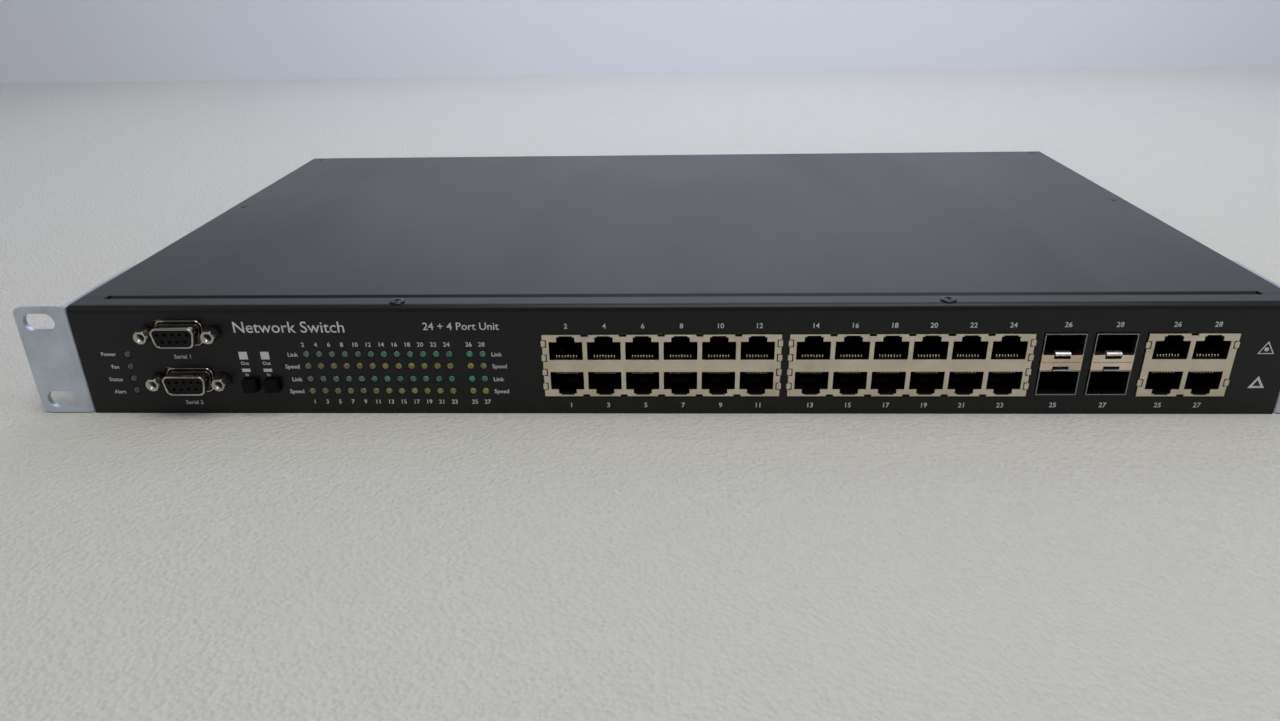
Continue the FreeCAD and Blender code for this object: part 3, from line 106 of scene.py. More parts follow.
def paintedSteel(name, dark, light, rough, specular, peelMm=0.9, gritMm=0.28, dust=0.0):
    # sprayed or baked coat: orange peel and grit in the bump, wiped patches in the gloss,
    # faint dust at low angles
    material, tree, shader, coords = newMaterial(
        name, Specular_IOR_Level=specular, IOR=1.5, Sheen_Weight=dust, Sheen_Roughness=0.4)
    peel = addNode(tree, "ShaderNodeTexNoise", {"Scale": perMm(peelMm), "Detail": 2.0},
                   {"Vector": (coords, "Object")})
    grit = addNode(tree, "ShaderNodeTexNoise", {"Scale": perMm(gritMm), "Detail": 3.0},
                   {"Vector": (coords, "Object")})
    wiped = addNode(tree, "ShaderNodeMapping", {"Scale": (1, 0.35, 1), "Rotation": (0, 0, 0.5)},
                    {"Vector": (coords, "Object")})
    patch = addNode(tree, "ShaderNodeTexNoise", {"Scale": perMm(85), "Detail": 4.0, "Distortion": 0.8},
                    {"Vector": (wiped, "Vector")})
    colour = colourRamp(tree, (patch, "Fac"), ((0.3, dark), (0.75, light)))
    gloss = addNode(tree, "ShaderNodeMapRange", {"From Min": 0.3, "From Max": 0.7, "To Min": rough[0],
                                                 "To Max": rough[1]}, {"Value": (patch, "Fac")})
    height = addNode(tree, "ShaderNodeMath", {"operation": "MULTIPLY_ADD", 1: 0.4},
                     {0: (grit, "Fac"), 2: (peel, "Fac")})
    bump = addNode(tree, "ShaderNodeBump", {"Strength": 0.12, "Distance": 0.1 * mm},
                   {"Height": (height, "Value")})
    tree.links.new(colour.outputs["Color"], shader.inputs["Base Color"])
    tree.links.new(gloss.outputs["Result"], shader.inputs["Roughness"])
    tree.links.new(bump.outputs["Normal"], shader.inputs["Normal"])
    return material


def platedMetal(name, dark, light, rough, lineMm, stretch, bumpStrength=0.08, patchMm=14,
                edgeMm=0.0, paintedShadePast=0.0, band=None):
    # rolled or drawn metal: fine parallel lines, clouded plating, gloss that follows the clouds
    material, tree, shader, coords = newMaterial(name, Metallic=1.0)
    along = addNode(tree, "ShaderNodeMapping", {"Scale": stretch}, {"Vector": (coords, "Object")})
    lines = addNode(tree, "ShaderNodeTexNoise", {"Scale": perMm(lineMm), "Detail": 5.0, "Roughness": 0.65},
                    {"Vector": (along, "Vector")})
    cloud = addNode(tree, "ShaderNodeTexNoise", {"Scale": perMm(patchMm), "Detail": 3.0, "Distortion": 0.4},
                    {"Vector": (coords, "Object")})
    mixed = addNode(tree, "ShaderNodeMath", {"operation": "MULTIPLY_ADD", 1: 0.3},
                    {0: (lines, "Fac"), 2: (cloud, "Fac")})
    colour = colourRamp(tree, (mixed, "Value"), ((0.45, dark), (0.85, light)))
    gloss = addNode(tree, "ShaderNodeMapRange", {"From Min": 0.4, "From Max": 0.9, "To Min": rough[0],
                                                 "To Max": rough[1]}, {"Value": (mixed, "Value")})
    bump = addNode(tree, "ShaderNodeBump", {"Strength": bumpStrength, "Distance": 0.06 * mm},
                   {"Height": (lines, "Fac")})
    if edgeMm:
        # sheared edges are slightly rounded and catch the light
        edge = addNode(tree, "ShaderNodeBevel", {"samples": 4, "Radius": edgeMm * mm})
        tree.links.new(edge.outputs["Normal"], bump.inputs["Normal"])
    shown = (colour, "Color")
    place = addNode(tree, "ShaderNodeSeparateXYZ", links={"Vector": (coords, "Object")})
    if band:
        # bright only between these heights in mm; the sheared frame around them is raw grey steel
        middle, half = (band[0] + band[1]) / 2 * mm, (band[1] - band[0]) / 2 * mm
        inside = addNode(tree, "ShaderNodeMath", {"operation": "COMPARE", 1: middle, 2: half},
                         {0: (place, "Z")})
        framed = addNode(tree, "ShaderNodeMix", {"data_type": "RGBA", 6: hexColour("#8e8d90")},
                         {0: (inside, "Value"), 7: shown})
        shown = (framed, 2)
    if paintedShadePast:
        # painted shade: the sheet turns dark further inside than this many mm behind the panel, where the
        # cage is in shade
        mouth, fade = (panelFace + paintedShadePast) * mm, 1.5 * mm
        depth = addNode(tree, "ShaderNodeMapRange", {"From Min": mouth, "From Max": mouth + fade},
                        {"Value": (place, "Y")})
        paintedShadeInside = addNode(tree, "ShaderNodeMix", {"data_type": "RGBA", 7: hexColour("#1c1b1d")},
                         {0: (depth, "Result"), 6: shown})
        shown = (paintedShadeInside, 2)
    tree.links.new(shown[0].outputs[shown[1]], shader.inputs["Base Color"])
    tree.links.new(gloss.outputs["Result"], shader.inputs["Roughness"])
    tree.links.new(bump.outputs["Normal"], shader.inputs["Normal"])
    return material


def mouldedPlastic(name, dark, light, rough, grainMm=0.22, specular=0.4, relief=(0.12, 0.05)):
    # spark-eroded mould texture, slightly uneven in gloss where the plastic flowed
    # relief holds the strength of the grain and its depth in mm
    material, tree, shader, coords = newMaterial(name, Specular_IOR_Level=specular, IOR=1.54)
    grain = addNode(tree, "ShaderNodeTexVoronoi", {"Scale": perMm(grainMm)}, {"Vector": (coords, "Object")})
    flow = addNode(tree, "ShaderNodeTexNoise", {"Scale": perMm(7), "Detail": 2.0, "Distortion": 1.2},
                   {"Vector": (coords, "Object")})
    colour = colourRamp(tree, (flow, "Fac"), ((0.35, dark), (0.7, light)))
    gloss = addNode(tree, "ShaderNodeMapRange", {"From Min": 0.3, "From Max": 0.7, "To Min": rough[0],
                                                 "To Max": rough[1]}, {"Value": (flow, "Fac")})
    bump = addNode(tree, "ShaderNodeBump", {"Strength": relief[0], "Distance": relief[1] * mm},
                   {"Height": (grain, "Distance")})
    tree.links.new(colour.outputs["Color"], shader.inputs["Base Color"])
    tree.links.new(gloss.outputs["Result"], shader.inputs["Roughness"])
    tree.links.new(bump.outputs["Normal"], shader.inputs["Normal"])
    return material


def epoxyLens(name, leftShadeGrey, dark, light):
    # cast tinted epoxy of an unlit lamp under a clear glossy skin, with painted shade along the row:
    # greyer towards the left and darker still at the far left, full tint at the right
    material, tree, shader, coords = newMaterial(
        name, IOR=1.54, Transmission_Weight=0.25, Coat_Weight=0.6, Coat_Roughness=0.08)
    cloud = addNode(tree, "ShaderNodeTexNoise", {"Scale": perMm(4), "Detail": 2.0},
                    {"Vector": (coords, "Object")})
    place = addNode(tree, "ShaderNodeSeparateXYZ", links={"Vector": (coords, "Object")})
    # painted shade: the tint turns grey towards the left, and the far left, where the status lamps sit, is
    # darkened further
    along = addNode(tree, "ShaderNodeMapRange", {"From Min": -150 * mm, "From Max": -85 * mm},
                    {"Value": (place, "X")})
    paintedShadeFactor = addNode(tree, "ShaderNodeMapRange", {"From Min": -200 * mm, "From Max": -150 * mm, "To Min": 0.5},
                    {"Value": (place, "X")})
    tint = colourRamp(tree, (cloud, "Fac"), ((0.35, dark), (0.65, light)))
    colour = addNode(tree, "ShaderNodeMix", {"data_type": "RGBA", 6: hexColour(leftShadeGrey)},
                     {0: (along, "Result"), 7: (tint, "Color")})
    paintedShadeDimmed = addNode(tree, "ShaderNodeVectorMath", {"operation": "SCALE"},
                     {0: (colour, 2), "Scale": (paintedShadeFactor, "Result")})
    gloss = addNode(tree, "ShaderNodeMapRange", {"To Min": 0.18, "To Max": 0.34}, {"Value": (cloud, "Fac")})
    tree.links.new(paintedShadeDimmed.outputs["Vector"], shader.inputs["Base Color"])
    tree.links.new(gloss.outputs["Result"], shader.inputs["Roughness"])
    return material


def circuitBoard(name):
    # green solder mask over copper tracks that show as raised lighter bands
    material, tree, shader, coords = newMaterial(name, IOR=1.5, Coat_Weight=0.3, Coat_Roughness=0.2)
    tracks = addNode(tree, "ShaderNodeTexBrick", {
        "Scale": perMm(6), "Mortar Size": 0.06, "Color1": hexColour("#0b3a1e"),
        "Color2": hexColour("#0e4424"), "Mortar": hexColour("#1d6a38")}, {"Vector": (coords, "Object")})
    weave = addNode(tree, "ShaderNodeTexNoise", {"Scale": perMm(0.8), "Detail": 2.0},
                    {"Vector": (coords, "Object")})
    bump = addNode(tree, "ShaderNodeBump", {"Strength": 0.3, "Distance": 0.04 * mm},
                   {"Height": (tracks, "Fac")})
    gloss = addNode(tree, "ShaderNodeMapRange", {"To Min": 0.25, "To Max": 0.45},
                    {"Value": (weave, "Fac")})
    tree.links.new(tracks.outputs["Color"], shader.inputs["Base Color"])
    tree.links.new(gloss.outputs["Result"], shader.inputs["Roughness"])
    tree.links.new(bump.outputs["Normal"], shader.inputs["Normal"])
    return material


materials = {
    # baked satin black: almost no colour of its own, a pale room shows in it at a low angle
    "black_paint": paintedSteel("bakedBlackPaint", "#0c0c0e", "#111113", (0.3, 0.38), 0.3, dust=0.12),
    # electroplated zinc over rolled sheet: bluish, softly lined, half dull
    "zinc_plate": platedMetal("zincPlatedSheet", "#bcc6d1", "#d6dee8", (0.36, 0.5), 0.9, (1, 1, 0.1),
                              edgeMm=0.35),
    # turned and plated fixings: brighter on their edges
    "zinc_screw": platedMetal("nickelPlatedTurnings", "#a8a49b", "#cfcbc2", (0.2, 0.32), 0.3, (1, 1, 1)),
    # blackened screw: dark with a metal glint
    "black_screw": paintedSteel("blackOxideScrew", "#050505", "#0b0b0c", (0.2, 0.28), 0.35, 0.5, 0.2),
    # tin-plated shield: warm, slightly dull, straight drawn lines
    "tinned_shield": platedMetal("tinPlatedShield", "#cbc1ac", "#e2d9c6", (0.34, 0.46), 0.6, (0.15, 1, 1),
                                 edgeMm=0.12),
    # copper-nickel cage: thin pale sheet with folded bright edges, and painted shade deeper inside
    "cage_steel": platedMetal("nickelSilverCage", "#cfbda6", "#ecdcc6", (0.24, 0.36), 0.5, (1, 0.15, 1),
                              edgeMm=0.15, paintedShadePast=2.5, band=(18.2, 24.6)),
    # glass-filled nylon: deep black inside the sockets
    "black_plastic": mouldedPlastic("glassFilledNylon", "#040405", "#080809", (0.5, 0.62), specular=0.2),
    # gold flash on bronze wire
    "gold_contact": platedMetal("goldFlashedWire", "#d8cba6", "#f2e8cb", (0.2, 0.3), 0.3, (1, 1, 1), 0.03, 3),
    # the first colour of each lens is the painted shade grey that the lamps take towards the left
    "green_lens": epoxyLens("greenEpoxyLens", "#5c6661", "#286b58", "#3a9276"),
    "yellow_lens": epoxyLens("yellowEpoxyLens", "#6b6b52", "#6a6a2a", "#99983f"),
    "circuit_board": circuitBoard("greenSolderMask"),
    # ABS button cap: fine matt grain, very dark
    "button_plastic": mouldedPlastic("blackAbsCap", "#030303", "#060607", (0.5, 0.62), 0.3, 0.12),
    "brass_post": platedMetal("nickelledBrass", "#ad955a", "#c9b47a", (0.22, 0.34), 0.4, (1, 1, 0.3)),
    "aluminium_sink": platedMetal("extrudedAluminium", "#9fa2a6", "#c2c5c9", (0.3, 0.45), 0.5, (1, 0.08, 1)),
    "aluminium_can": platedMetal("drawnAluminiumCan", "#8b8f95", "#b3b7bc", (0.26, 0.4), 0.4, (1, 1, 0.1)),
    "ferrite": mouldedPlastic("sinteredFerrite", "#262627", "#37373a", (0.55, 0.7), 0.5),
    "wire_jacket": mouldedPlastic("redPvcJacket", "#79130f", "#931d17", (0.35, 0.5), 0.4),
    # appliance inlet: thermoplastic with an even fine texture
    "inlet_plastic": mouldedPlastic("blackInletNylon", "#0d0d0e", "#171718", (0.4, 0.55), 0.35),
    "fan_plastic": mouldedPlastic("blackPbtFan", "#0b0b0c", "#151516", (0.35, 0.5), 0.4),
    # bright chromed wire
    "guard_wire": platedMetal("chromedGuardWire", "#b9bbbe", "#dadbdd", (0.1, 0.18), 0.4, (1, 1, 1), 0.02),
}
# screen-printing ink: light grey, slightly mottled where the mesh printed it
inkWhite = mouldedPlastic("screenPrintInk", "#c4c6ca", "#dadcdf", (0.5, 0.62), 0.12, 0.3)
# bright nickel on drawn steel: mirrors the dark panel along its sides, so only its lips stand out
nickelShell = platedMetal("brightNickelShell", "#a39e97", "#c4bfb7", (0.08, 0.16), 0.4, (1, 1, 1), 0.02, 9)
# nose of a latch tongue: painted highlight, a near-white copy of the cage metal where the nose catches the
# light from above, with painted shade just inside
lipHighlightAndShade = platedMetal("highlightedLatchTongue", "#f1eee8", "#fdfcfa", (0.3, 0.42), 0.3, (1, 1, 1), 0.02, 4,
                          paintedShadePast=0.2)
for entry in frame["record"]["subparts"]:
    for slot in nodes[entry["node"]].material_slots:
        slot.material = materials[entry["material_slot"]]
# painted shade on the lock washers behind the jack nuts
for slot in nodes["serial_lock_washers"].material_slots:
    slot.material = materials["black_screw"]      # painted shade: the dark screw finish, darker than the nuts on it, stands in for the shade behind the nuts
print("materials set:", len(materials))


# shaping tools

def newPiece(name, mesh, material):
    thing = bpy.data.objects.new(name, mesh)
    scene.collection.objects.link(thing)
    mesh.materials.clear()
    mesh.materials.append(material)
    return thing


def meshFrom(name, verts, faces):
    mesh = bpy.data.meshes.new(name)
    mesh.from_pydata([Vector(v) * mm for v in verts], [], faces)
    tidy = bmesh.new()
    tidy.from_mesh(mesh)
    bmesh.ops.remove_doubles(tidy, verts=tidy.verts, dist=1e-7)
    bmesh.ops.recalc_face_normals(tidy, faces=tidy.faces)
    tidy.to_mesh(mesh)
    tidy.free()
    return mesh


def ringStack(name, rings, closeLoop=False):
    # joins rings of equal point counts into a skin; ends are capped unless the stack closes on itself
    count = len(rings[0])
    verts = [point for ring in rings for point in ring]
    faces = []
    last = len(rings) if closeLoop else len(rings) - 1
    for k in range(last):
        here, there = k * count, ((k + 1) % len(rings)) * count
        for j in range(count):
            faces.append((here + j, here + (j + 1) % count, there + (j + 1) % count, there + j))
    if not closeLoop:
        faces.append(tuple(range(count)))
        faces.append(tuple(range((len(rings) - 1) * count, len(rings) * count)))
    return meshFrom(name, verts, faces)


def circleRing(radius, depth, segments=24):
    angles = [math.tau * k / segments for k in range(segments)]
    return [(radius * math.cos(angle), depth, radius * math.sin(angle)) for angle in angles]


def smoothFaces(mesh, angleDegrees=35):
    for polygon in mesh.polygons:
        polygon.use_smooth = True
    mesh.set_sharp_from_angle(angle=math.radians(angleDegrees))


def repeatTree():
    # Geometry Nodes: copies the incoming mesh over a grid of columns and rows
    tree = bpy.data.node_groups.new("repeatGrid", "GeometryNodeTree")
    sockets = (("Geometry", "NodeSocketGeometry"), ("Material", "NodeSocketMaterial"),
               ("Columns", "NodeSocketInt"), ("Column Step", "NodeSocketVector"),
               ("Rows", "NodeSocketInt"), ("Row Step", "NodeSocketVector"))
    for name, kind in sockets:
        tree.interface.new_socket(name, in_out="INPUT", socket_type=kind)
    tree.interface.new_socket("Geometry", in_out="OUTPUT", socket_type="NodeSocketGeometry")
    source = addNode(tree, "NodeGroupInput")
    result = source
    for count, step in (("Columns", "Column Step"), ("Rows", "Row Step")):
        line = addNode(tree, "GeometryNodeMeshLine",
                       links={"Count": (source, count), "Offset": (source, step)})
        copies = addNode(tree, "GeometryNodeInstanceOnPoints",
                         links={"Points": (line, "Mesh"), "Instance": (result, "Geometry")})
        result = addNode(tree, "GeometryNodeRealizeInstances", links={"Geometry": (copies, "Instances")})
    painted = addNode(tree, "GeometryNodeSetMaterial",
                      links={"Geometry": (result, "Geometry"), "Material": (source, "Material")})
    addNode(tree, "NodeGroupOutput", links={"Geometry": (painted, "Geometry")})
    return tree


repeatGrid = repeatTree()


def repeated(name, mesh, material, columns=1, columnStep=(0, 0, 0), rows=1, rowStep=(0, 0, 0)):
    # steps in mm; gives back plain mesh data
    thing = newPiece(name, mesh, material)
    modifier = thing.modifiers.new("repeat", "NODES")
    modifier.node_group = repeatGrid
    values = {"Columns": columns, "Column Step": [v * mm for v in columnStep], "Rows": rows,
              "Row Step": [v * mm for v in rowStep], "Material": material}
    for item in repeatGrid.interface.items_tree:
        if item.in_out == "INPUT" and item.name in values:
            modifier[item.identifier] = values[item.name]
    depsgraph = bpy.context.evaluated_depsgraph_get()
    plain = bpy.data.meshes.new_from_object(thing.evaluated_get(depsgraph))
    bpy.data.objects.remove(thing)
    return plain


def joined(name, meshes, material):
    # one piece from several meshes
    build = bmesh.new()
    for mesh in meshes:
        build.from_mesh(mesh)
    mesh = bpy.data.meshes.new(name)
    build.to_mesh(mesh)
    build.free()
    return newPiece(name, mesh, material)


def shifted(mesh, place):
    copy = mesh.copy()
    copy.transform(Matrix.Translation(Vector(place) * mm))
    return copy


# indicator lamps

lamps = {"radius": 1.3, "proud": 0.5, "length": 5.8, "firstX": -134.85, "pitch": 4.865, "columns": 12,
         "lastX": -73.75, "lastPitch": 4.8, "lastColumns": 2, "linkRows": (14.5, 24.6),
         "speedRows": (9.5, 19.8), "statusX": -202.5, "statusZ": 9.85, "statusPitch": 4.97,
         "statusCount": 4}


def lampLens():
    # domed front, small shoulder, straight barrel
    radius, proud = lamps["radius"], lamps["proud"]
    profile = [(0.12, 0.0), (0.45, 0.03), (0.8, 0.13), (1.05, 0.28), (1.22, 0.5), (radius, 0.75),
               (radius, lamps["length"])]
    rings = [circleRing(reach, panelFace - proud + depth, 20) for reach, depth in profile]
    mesh = ringStack("lampLens", rings)
    smoothFaces(mesh, 50)
    return mesh


def lampField(name, rows, material, node):
    lens = lampLens()
    lift = (0, 0, rows[1] - rows[0])
    blocks = [
        repeated("lampsMain", shifted(lens, (lamps["firstX"], 0, rows[0])), material, lamps["columns"],
                 (lamps["pitch"], 0, 0), 2, lift),
        repeated("lampsLast", shifted(lens, (lamps["lastX"], 0, rows[0])), material, lamps["lastColumns"],
                 (lamps["lastPitch"], 0, 0), 2, lift)]
    piece = joined(name, blocks, material)
    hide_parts(node)
    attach(piece, "chassis")


lampField("linkLamps", lamps["linkRows"], materials["green_lens"], "link_leds")
lampField("speedLamps", lamps["speedRows"], materials["yellow_lens"], "speed_leds")
statusLens = shifted(lampLens(), (lamps["statusX"], 0, lamps["statusZ"]))
statusRow = repeated("statusRow", statusLens, materials["green_lens"], rows=lamps["statusCount"],
                     rowStep=(0, 0, lamps["statusPitch"]))
statusLamps = joined("statusLamps", [statusRow], materials["green_lens"])
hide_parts("status_leds")
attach(statusLamps, "chassis")
print("lamps made")


# socket contacts

wires = {"radius": 0.17, "pitch": 1.05, "count": 8, "upperZ": 22.4, "lowerZ": 17.6, "portPitch": 13.97,
         "faceGap": 0.6, "sides": 6}


def contactWire(way):
    # bent over at the socket's mouth, then rising backwards; way is 1 in upper sockets, -1 in lower
    path = [(1.5, 0.08), (1.42, 0.6), (1.42, 1.0), (1.55, 1.22), (1.85, 1.3), (2.3, 1.32), (6.5, 1.82),
            (11.5, 2.35)]
    if way < 0:
        path = [(deep, rise) for deep, rise in path if deep > 1.8]      # the shield hides the bend
    radius, rings = wires["radius"], []
    for index, (deep, rise) in enumerate(path):
        before, after = path[max(index - 1, 0)], path[min(index + 1, len(path) - 1)]
        along = Vector((after[0] - before[0], after[1] - before[1])).normalized()
        ring = []
        for k in range(wires["sides"]):
            angle = math.tau * (k + 0.5) / wires["sides"]
            out = radius * math.sin(angle)
            ring.append((radius * math.cos(angle), panelFace - wires["faceGap"] + deep - along.y * out,
                         way * (rise + along.x * out)))
        rings.append(ring)
    mesh = ringStack("contactWire", rings)
    smoothFaces(mesh, 60)
    return mesh


def contactField(name, firstX, columns, node):
    blocks = []
    half = wires["pitch"] * (wires["count"] - 1) / 2
    for way, base in ((1, wires["upperZ"]), (-1, wires["lowerZ"])):
        wire = shifted(contactWire(way), (firstX - half, 0, base))
        blocks.append(repeated("wires", wire, materials["gold_contact"], wires["count"],
                               (wires["pitch"], 0, 0), columns, (wires["portPitch"], 0, 0)))
    piece = joined(name, blocks, materials["gold_contact"])
    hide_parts(node)
    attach(piece, "chassis")


contactField("contactsBlockA", -38.03, 6, "port_contacts_a")
contactField("contactsBlockB", 51.93, 6, "port_contacts_b")
contactField("contactsShared", 178.715, 2, "port_contacts_combo")
print("contacts made")


# latch lips of the transceiver cages

lips = {"firstX": 141, "pitch": 18, "half": 2.7, "faceGap": 0.6,
        "upper": [(8, 23.95), (0.0, 23.95), (-0.45, 24.0), (-0.6, 24.2), (-0.45, 24.6), (-0.05, 25.0),
                  (0.5, 25.25), (8, 25.25)],
        "lower": [(8, 18.5), (0, 18.5), (-0.5, 18.42), (-0.6, 18.2), (-0.4, 17.95), (0.1, 17.75), (8, 17.75)]}


def latchLips():
    # folded tongues with a rolled nose that catches the light from above
    mouth = panelFace - lips["faceGap"]
    rows = []
    for profile in (lips["upper"], lips["lower"]):
        ends = [[(lips["firstX"] + way * lips["half"], mouth + deep, up) for deep, up in profile]
                for way in (-1, 1)]
        lip = ringStack("latchLip", ends)
        smoothFaces(lip, 40)
        rows.append(repeated("lips", lip, lipHighlightAndShade, 2, (lips["pitch"], 0, 0)))
    piece = joined("latchLips", rows, lipHighlightAndShade)
    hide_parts("cage_latch_lips")
    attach(piece, "chassis")


latchLips()
print("latch lips made")


# printing on the panel

ink = {"lift": 0.02, "capRatio": 0.7, "spread": 0.03, "title": 4.4, "subtitle": 2.9, "lampNumber": 1.7,
       "portNumber": 1.9, "label": 1.6, "status": 1.5, "button": 1.3, "buttonX": (-158.6, -150.4),
       "markHalf": 1.6, "outMark": (22.6, 25.7), "inMark": (17.5, 18.8), "triangleX": (209.3, 215.2, 212.2),
       "dotZ": 26.0, "dotRadius": 0.8}


def textMesh(words, height, place, align="CENTER"):
    # place is x and the height of the letters' foot, in mm
    data = bpy.data.curves.new("words", "FONT")
    data.body = words
    data.size = height / ink["capRatio"] * mm
    data.align_x = align
    data.resolution_u = 3
    data.extrude = ink["lift"] / 2 * mm
    data.offset = ink["spread"] * mm
    thing = bpy.data.objects.new("words", data)
    scene.collection.objects.link(thing)
    mesh = bpy.data.meshes.new_from_object(thing.evaluated_get(bpy.context.evaluated_depsgraph_get()))
    bpy.data.objects.remove(thing)
    mesh.transform(Matrix.Rotation(math.pi / 2, 4, "X"))
    mesh.transform(Matrix.Translation(Vector((place[0], panelFace - ink["lift"] / 2, place[1])) * mm))
    return mesh


def patchMesh(corners):
    # a flat printed shape from its corners (x, z)
    near, far = panelFace - ink["lift"], panelFace
    count = len(corners)
    verts = [(x, near, z) for x, z in corners] + [(x, far, z) for x, z in corners]
    faces = [tuple(range(count)), tuple(range(2 * count - 1, count - 1, -1))]
    faces += [(k, k + count, (k + 1) % count + count, (k + 1) % count) for k in range(count)]
    return meshFrom("patch", verts, faces)


def numberRow(numbers, firstX, pitch, height, foot):
    return [textMesh(str(value), height, (firstX + pitch * index, foot))
            for index, value in enumerate(numbers)]


def panelPrinting():
    prints = []
    # numbers above and below the lamps
    lampX, lampPitch, lampHigh = lamps["firstX"], lamps["pitch"], ink["lampNumber"]
    prints += numberRow(range(2, 25, 2), lampX - 0.6, lampPitch, lampHigh, 27.7)
    prints += numberRow((26, 28), lamps["lastX"], lamps["lastPitch"], lampHigh, 27.7)
    prints += numberRow(range(1, 24, 2), lampX + 0.2, lampPitch, lampHigh, 4.2)
    prints += numberRow((25, 27), lamps["lastX"] + 0.3, lamps["lastPitch"], lampHigh, 4.2)
    # numbers above and below the sockets
    portPitch, portHigh = wires["portPitch"], ink["portNumber"]
    prints += numberRow(range(2, 13, 2), -37.7, portPitch, portHigh, 34.7)
    prints += numberRow(range(1, 12, 2), -37.0, portPitch, portHigh, 2.7)
    prints += numberRow(range(14, 25, 2), 52.3, portPitch, portHigh, 34.7)
    prints += numberRow(range(13, 24, 2), 52.0, portPitch, portHigh, 2.7)
    for firstX, pitch in ((141.3, 18.0), (179.2, 14.1)):
        prints += numberRow((26, 28), firstX, pitch, portHigh, 34.8)
        prints += numberRow((25, 27), firstX - 0.3, pitch, portHigh, 2.8)
    # words
    prints.append(textMesh("Network Switch", ink["title"], (-160.6, 33.4), "LEFT"))
    prints.append(textMesh("24 + 4 Port Unit", ink["subtitle"], (-90.0, 34.3), "LEFT"))
    for foot, word in ((23.7, "Link"), (18.9, "Speed"), (13.6, "Link"), (8.6, "Speed")):
        prints.append(textMesh(word, ink["label"], (-138.0, foot), "RIGHT"))
        prints.append(textMesh(word, ink["label"], (-65.7, foot), "LEFT"))
    for foot, word in ((24.1, "Power"), (18.9, "Fan"), (13.7, "Status"), (8.5, "Alert")):
        prints.append(textMesh(word, ink["status"], (-206.9, foot), "RIGHT"))
    prints.append(textMesh("Serial 1", ink["label"], (-181.5, 23.0)))
    prints.append(textMesh("Serial 2", ink["label"], (-181.3, 4.0)))
    # a tall square over a low one at each button: out and in
    for middle in ink["buttonX"]:
        left, right = middle - ink["markHalf"], middle + ink["markHalf"]
        for low, high in (ink["outMark"], ink["inMark"]):
            prints.append(patchMesh([(left, low), (right, low), (right, high), (left, high)]))
        prints.append(textMesh("Out", ink["button"], (middle, 20.4)))
        prints.append(textMesh("In", ink["button"], (middle, 15.7)))
    # two outlined triangles, the upper with a dot
    left, right, tipX = ink["triangleX"]
    for foot, tall, band in ((24.2, 5.0, 0.22), (10.7, 4.8, 0.5)):
        outer = [(left, foot), (right, foot), (tipX, foot + tall)]
        centre = Vector((tipX, foot + tall / 3))
        inner = [Vector(corner).lerp(centre, band) for corner in outer]
        for k in range(3):
            prints.append(patchMesh([outer[k], outer[(k + 1) % 3], inner[(k + 1) % 3], inner[k]]))
    dot = [(tipX + ink["dotRadius"] * math.cos(turn), ink["dotZ"] + ink["dotRadius"] * math.sin(turn))
           for turn in [math.tau * k / 12 for k in range(12)]]
    prints.append(patchMesh(dot))
    piece = joined("panelPrinting", prints, inkWhite)
    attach(piece, "chassis")


panelPrinting()
print("printing made")


# screws

screws = {"shank": 1.4, "shankDeep": 3.0, "strip": (2.9, 0.78), "lid": (2.5, 1.0), "ear": (2.8, 1.2),
          "side": (2.6, 0.9), "fan": (2.7, 1.5), "inlet": (2.7, 1.6),      # head radius and height
          "stripX": 99.3, "stripY": 4.3, "lidX": 215.25, "lidY": (11.8, 122.2), "lidSunk": 0.06,
          "earMetal": 2, "earY": 16, "earStep": 24, "sideY": 7, "sideZ": 11.8, "sideRise": 20,
          "fanX": (-165, -112), "fanReach": 16, "fanZ": 5.6, "guardThick": 2.4,
          "inletX": (145, 185), "inletZ": 21.8, "inletFlange": 2.5}


def crossScrew(name, size, domed, place, outward, material):
    # a head with a cross recess; outward is the direction that the head faces
    radius, rise = size
    shank, shankDeep = screws["shank"], screws["shankDeep"]
    if domed:
        profile = [(shank, -shankDeep), (shank, 0.0), (radius, 0.0), (radius, rise * 0.35),
                   (radius * 0.9, rise * 0.72), (radius * 0.62, rise * 0.95), (radius * 0.3, rise)]
    else:
        profile = [(shank, -shankDeep), (shank, -rise), (radius, -0.12), (radius, 0.0), (radius * 0.5, 0.0)]
    rings = [circleRing(reach, -deep) for reach, deep in profile]
    head = newPiece(name, ringStack(name, rings), material)
    arm, thick, deep = radius * 0.58, radius * 0.16, min(rise * 0.7, 0.9)
    top = rise if domed else 0.0
    corners = [(arm, thick), (thick, thick), (thick, arm), (-thick, arm), (-thick, thick),
               (-arm, thick), (-arm, -thick), (-thick, -thick), (-thick, -arm), (thick, -arm),
               (thick, -thick), (arm, -thick)]
    low = [(x * 0.6, -(top - deep), z * 0.6) for x, z in corners]
    high = [(x, -(top + 0.3), z) for x, z in corners]
    cutter = newPiece("recess", ringStack("recess", [low, high]), material)
    cut = head.modifiers.new("recess", "BOOLEAN")
    cut.object = cutter
    cut.operation = "DIFFERENCE"
    cut.solver = "EXACT"
    mesh = bpy.data.meshes.new_from_object(head.evaluated_get(bpy.context.evaluated_depsgraph_get()))
    bpy.data.objects.remove(head)
    bpy.data.objects.remove(cutter)
    turn = Vector((0, -1, 0)).rotation_difference(Vector(outward)).to_matrix().to_4x4()
    mesh.transform(turn)
    mesh.transform(Matrix.Translation(Vector(place) * mm))
    smoothFaces(mesh, 30)
    return mesh


def placeScrews(name, node, slotName, meshes):
    piece = joined(name, meshes, materials[slotName])
    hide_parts(node)
    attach(piece, "chassis")


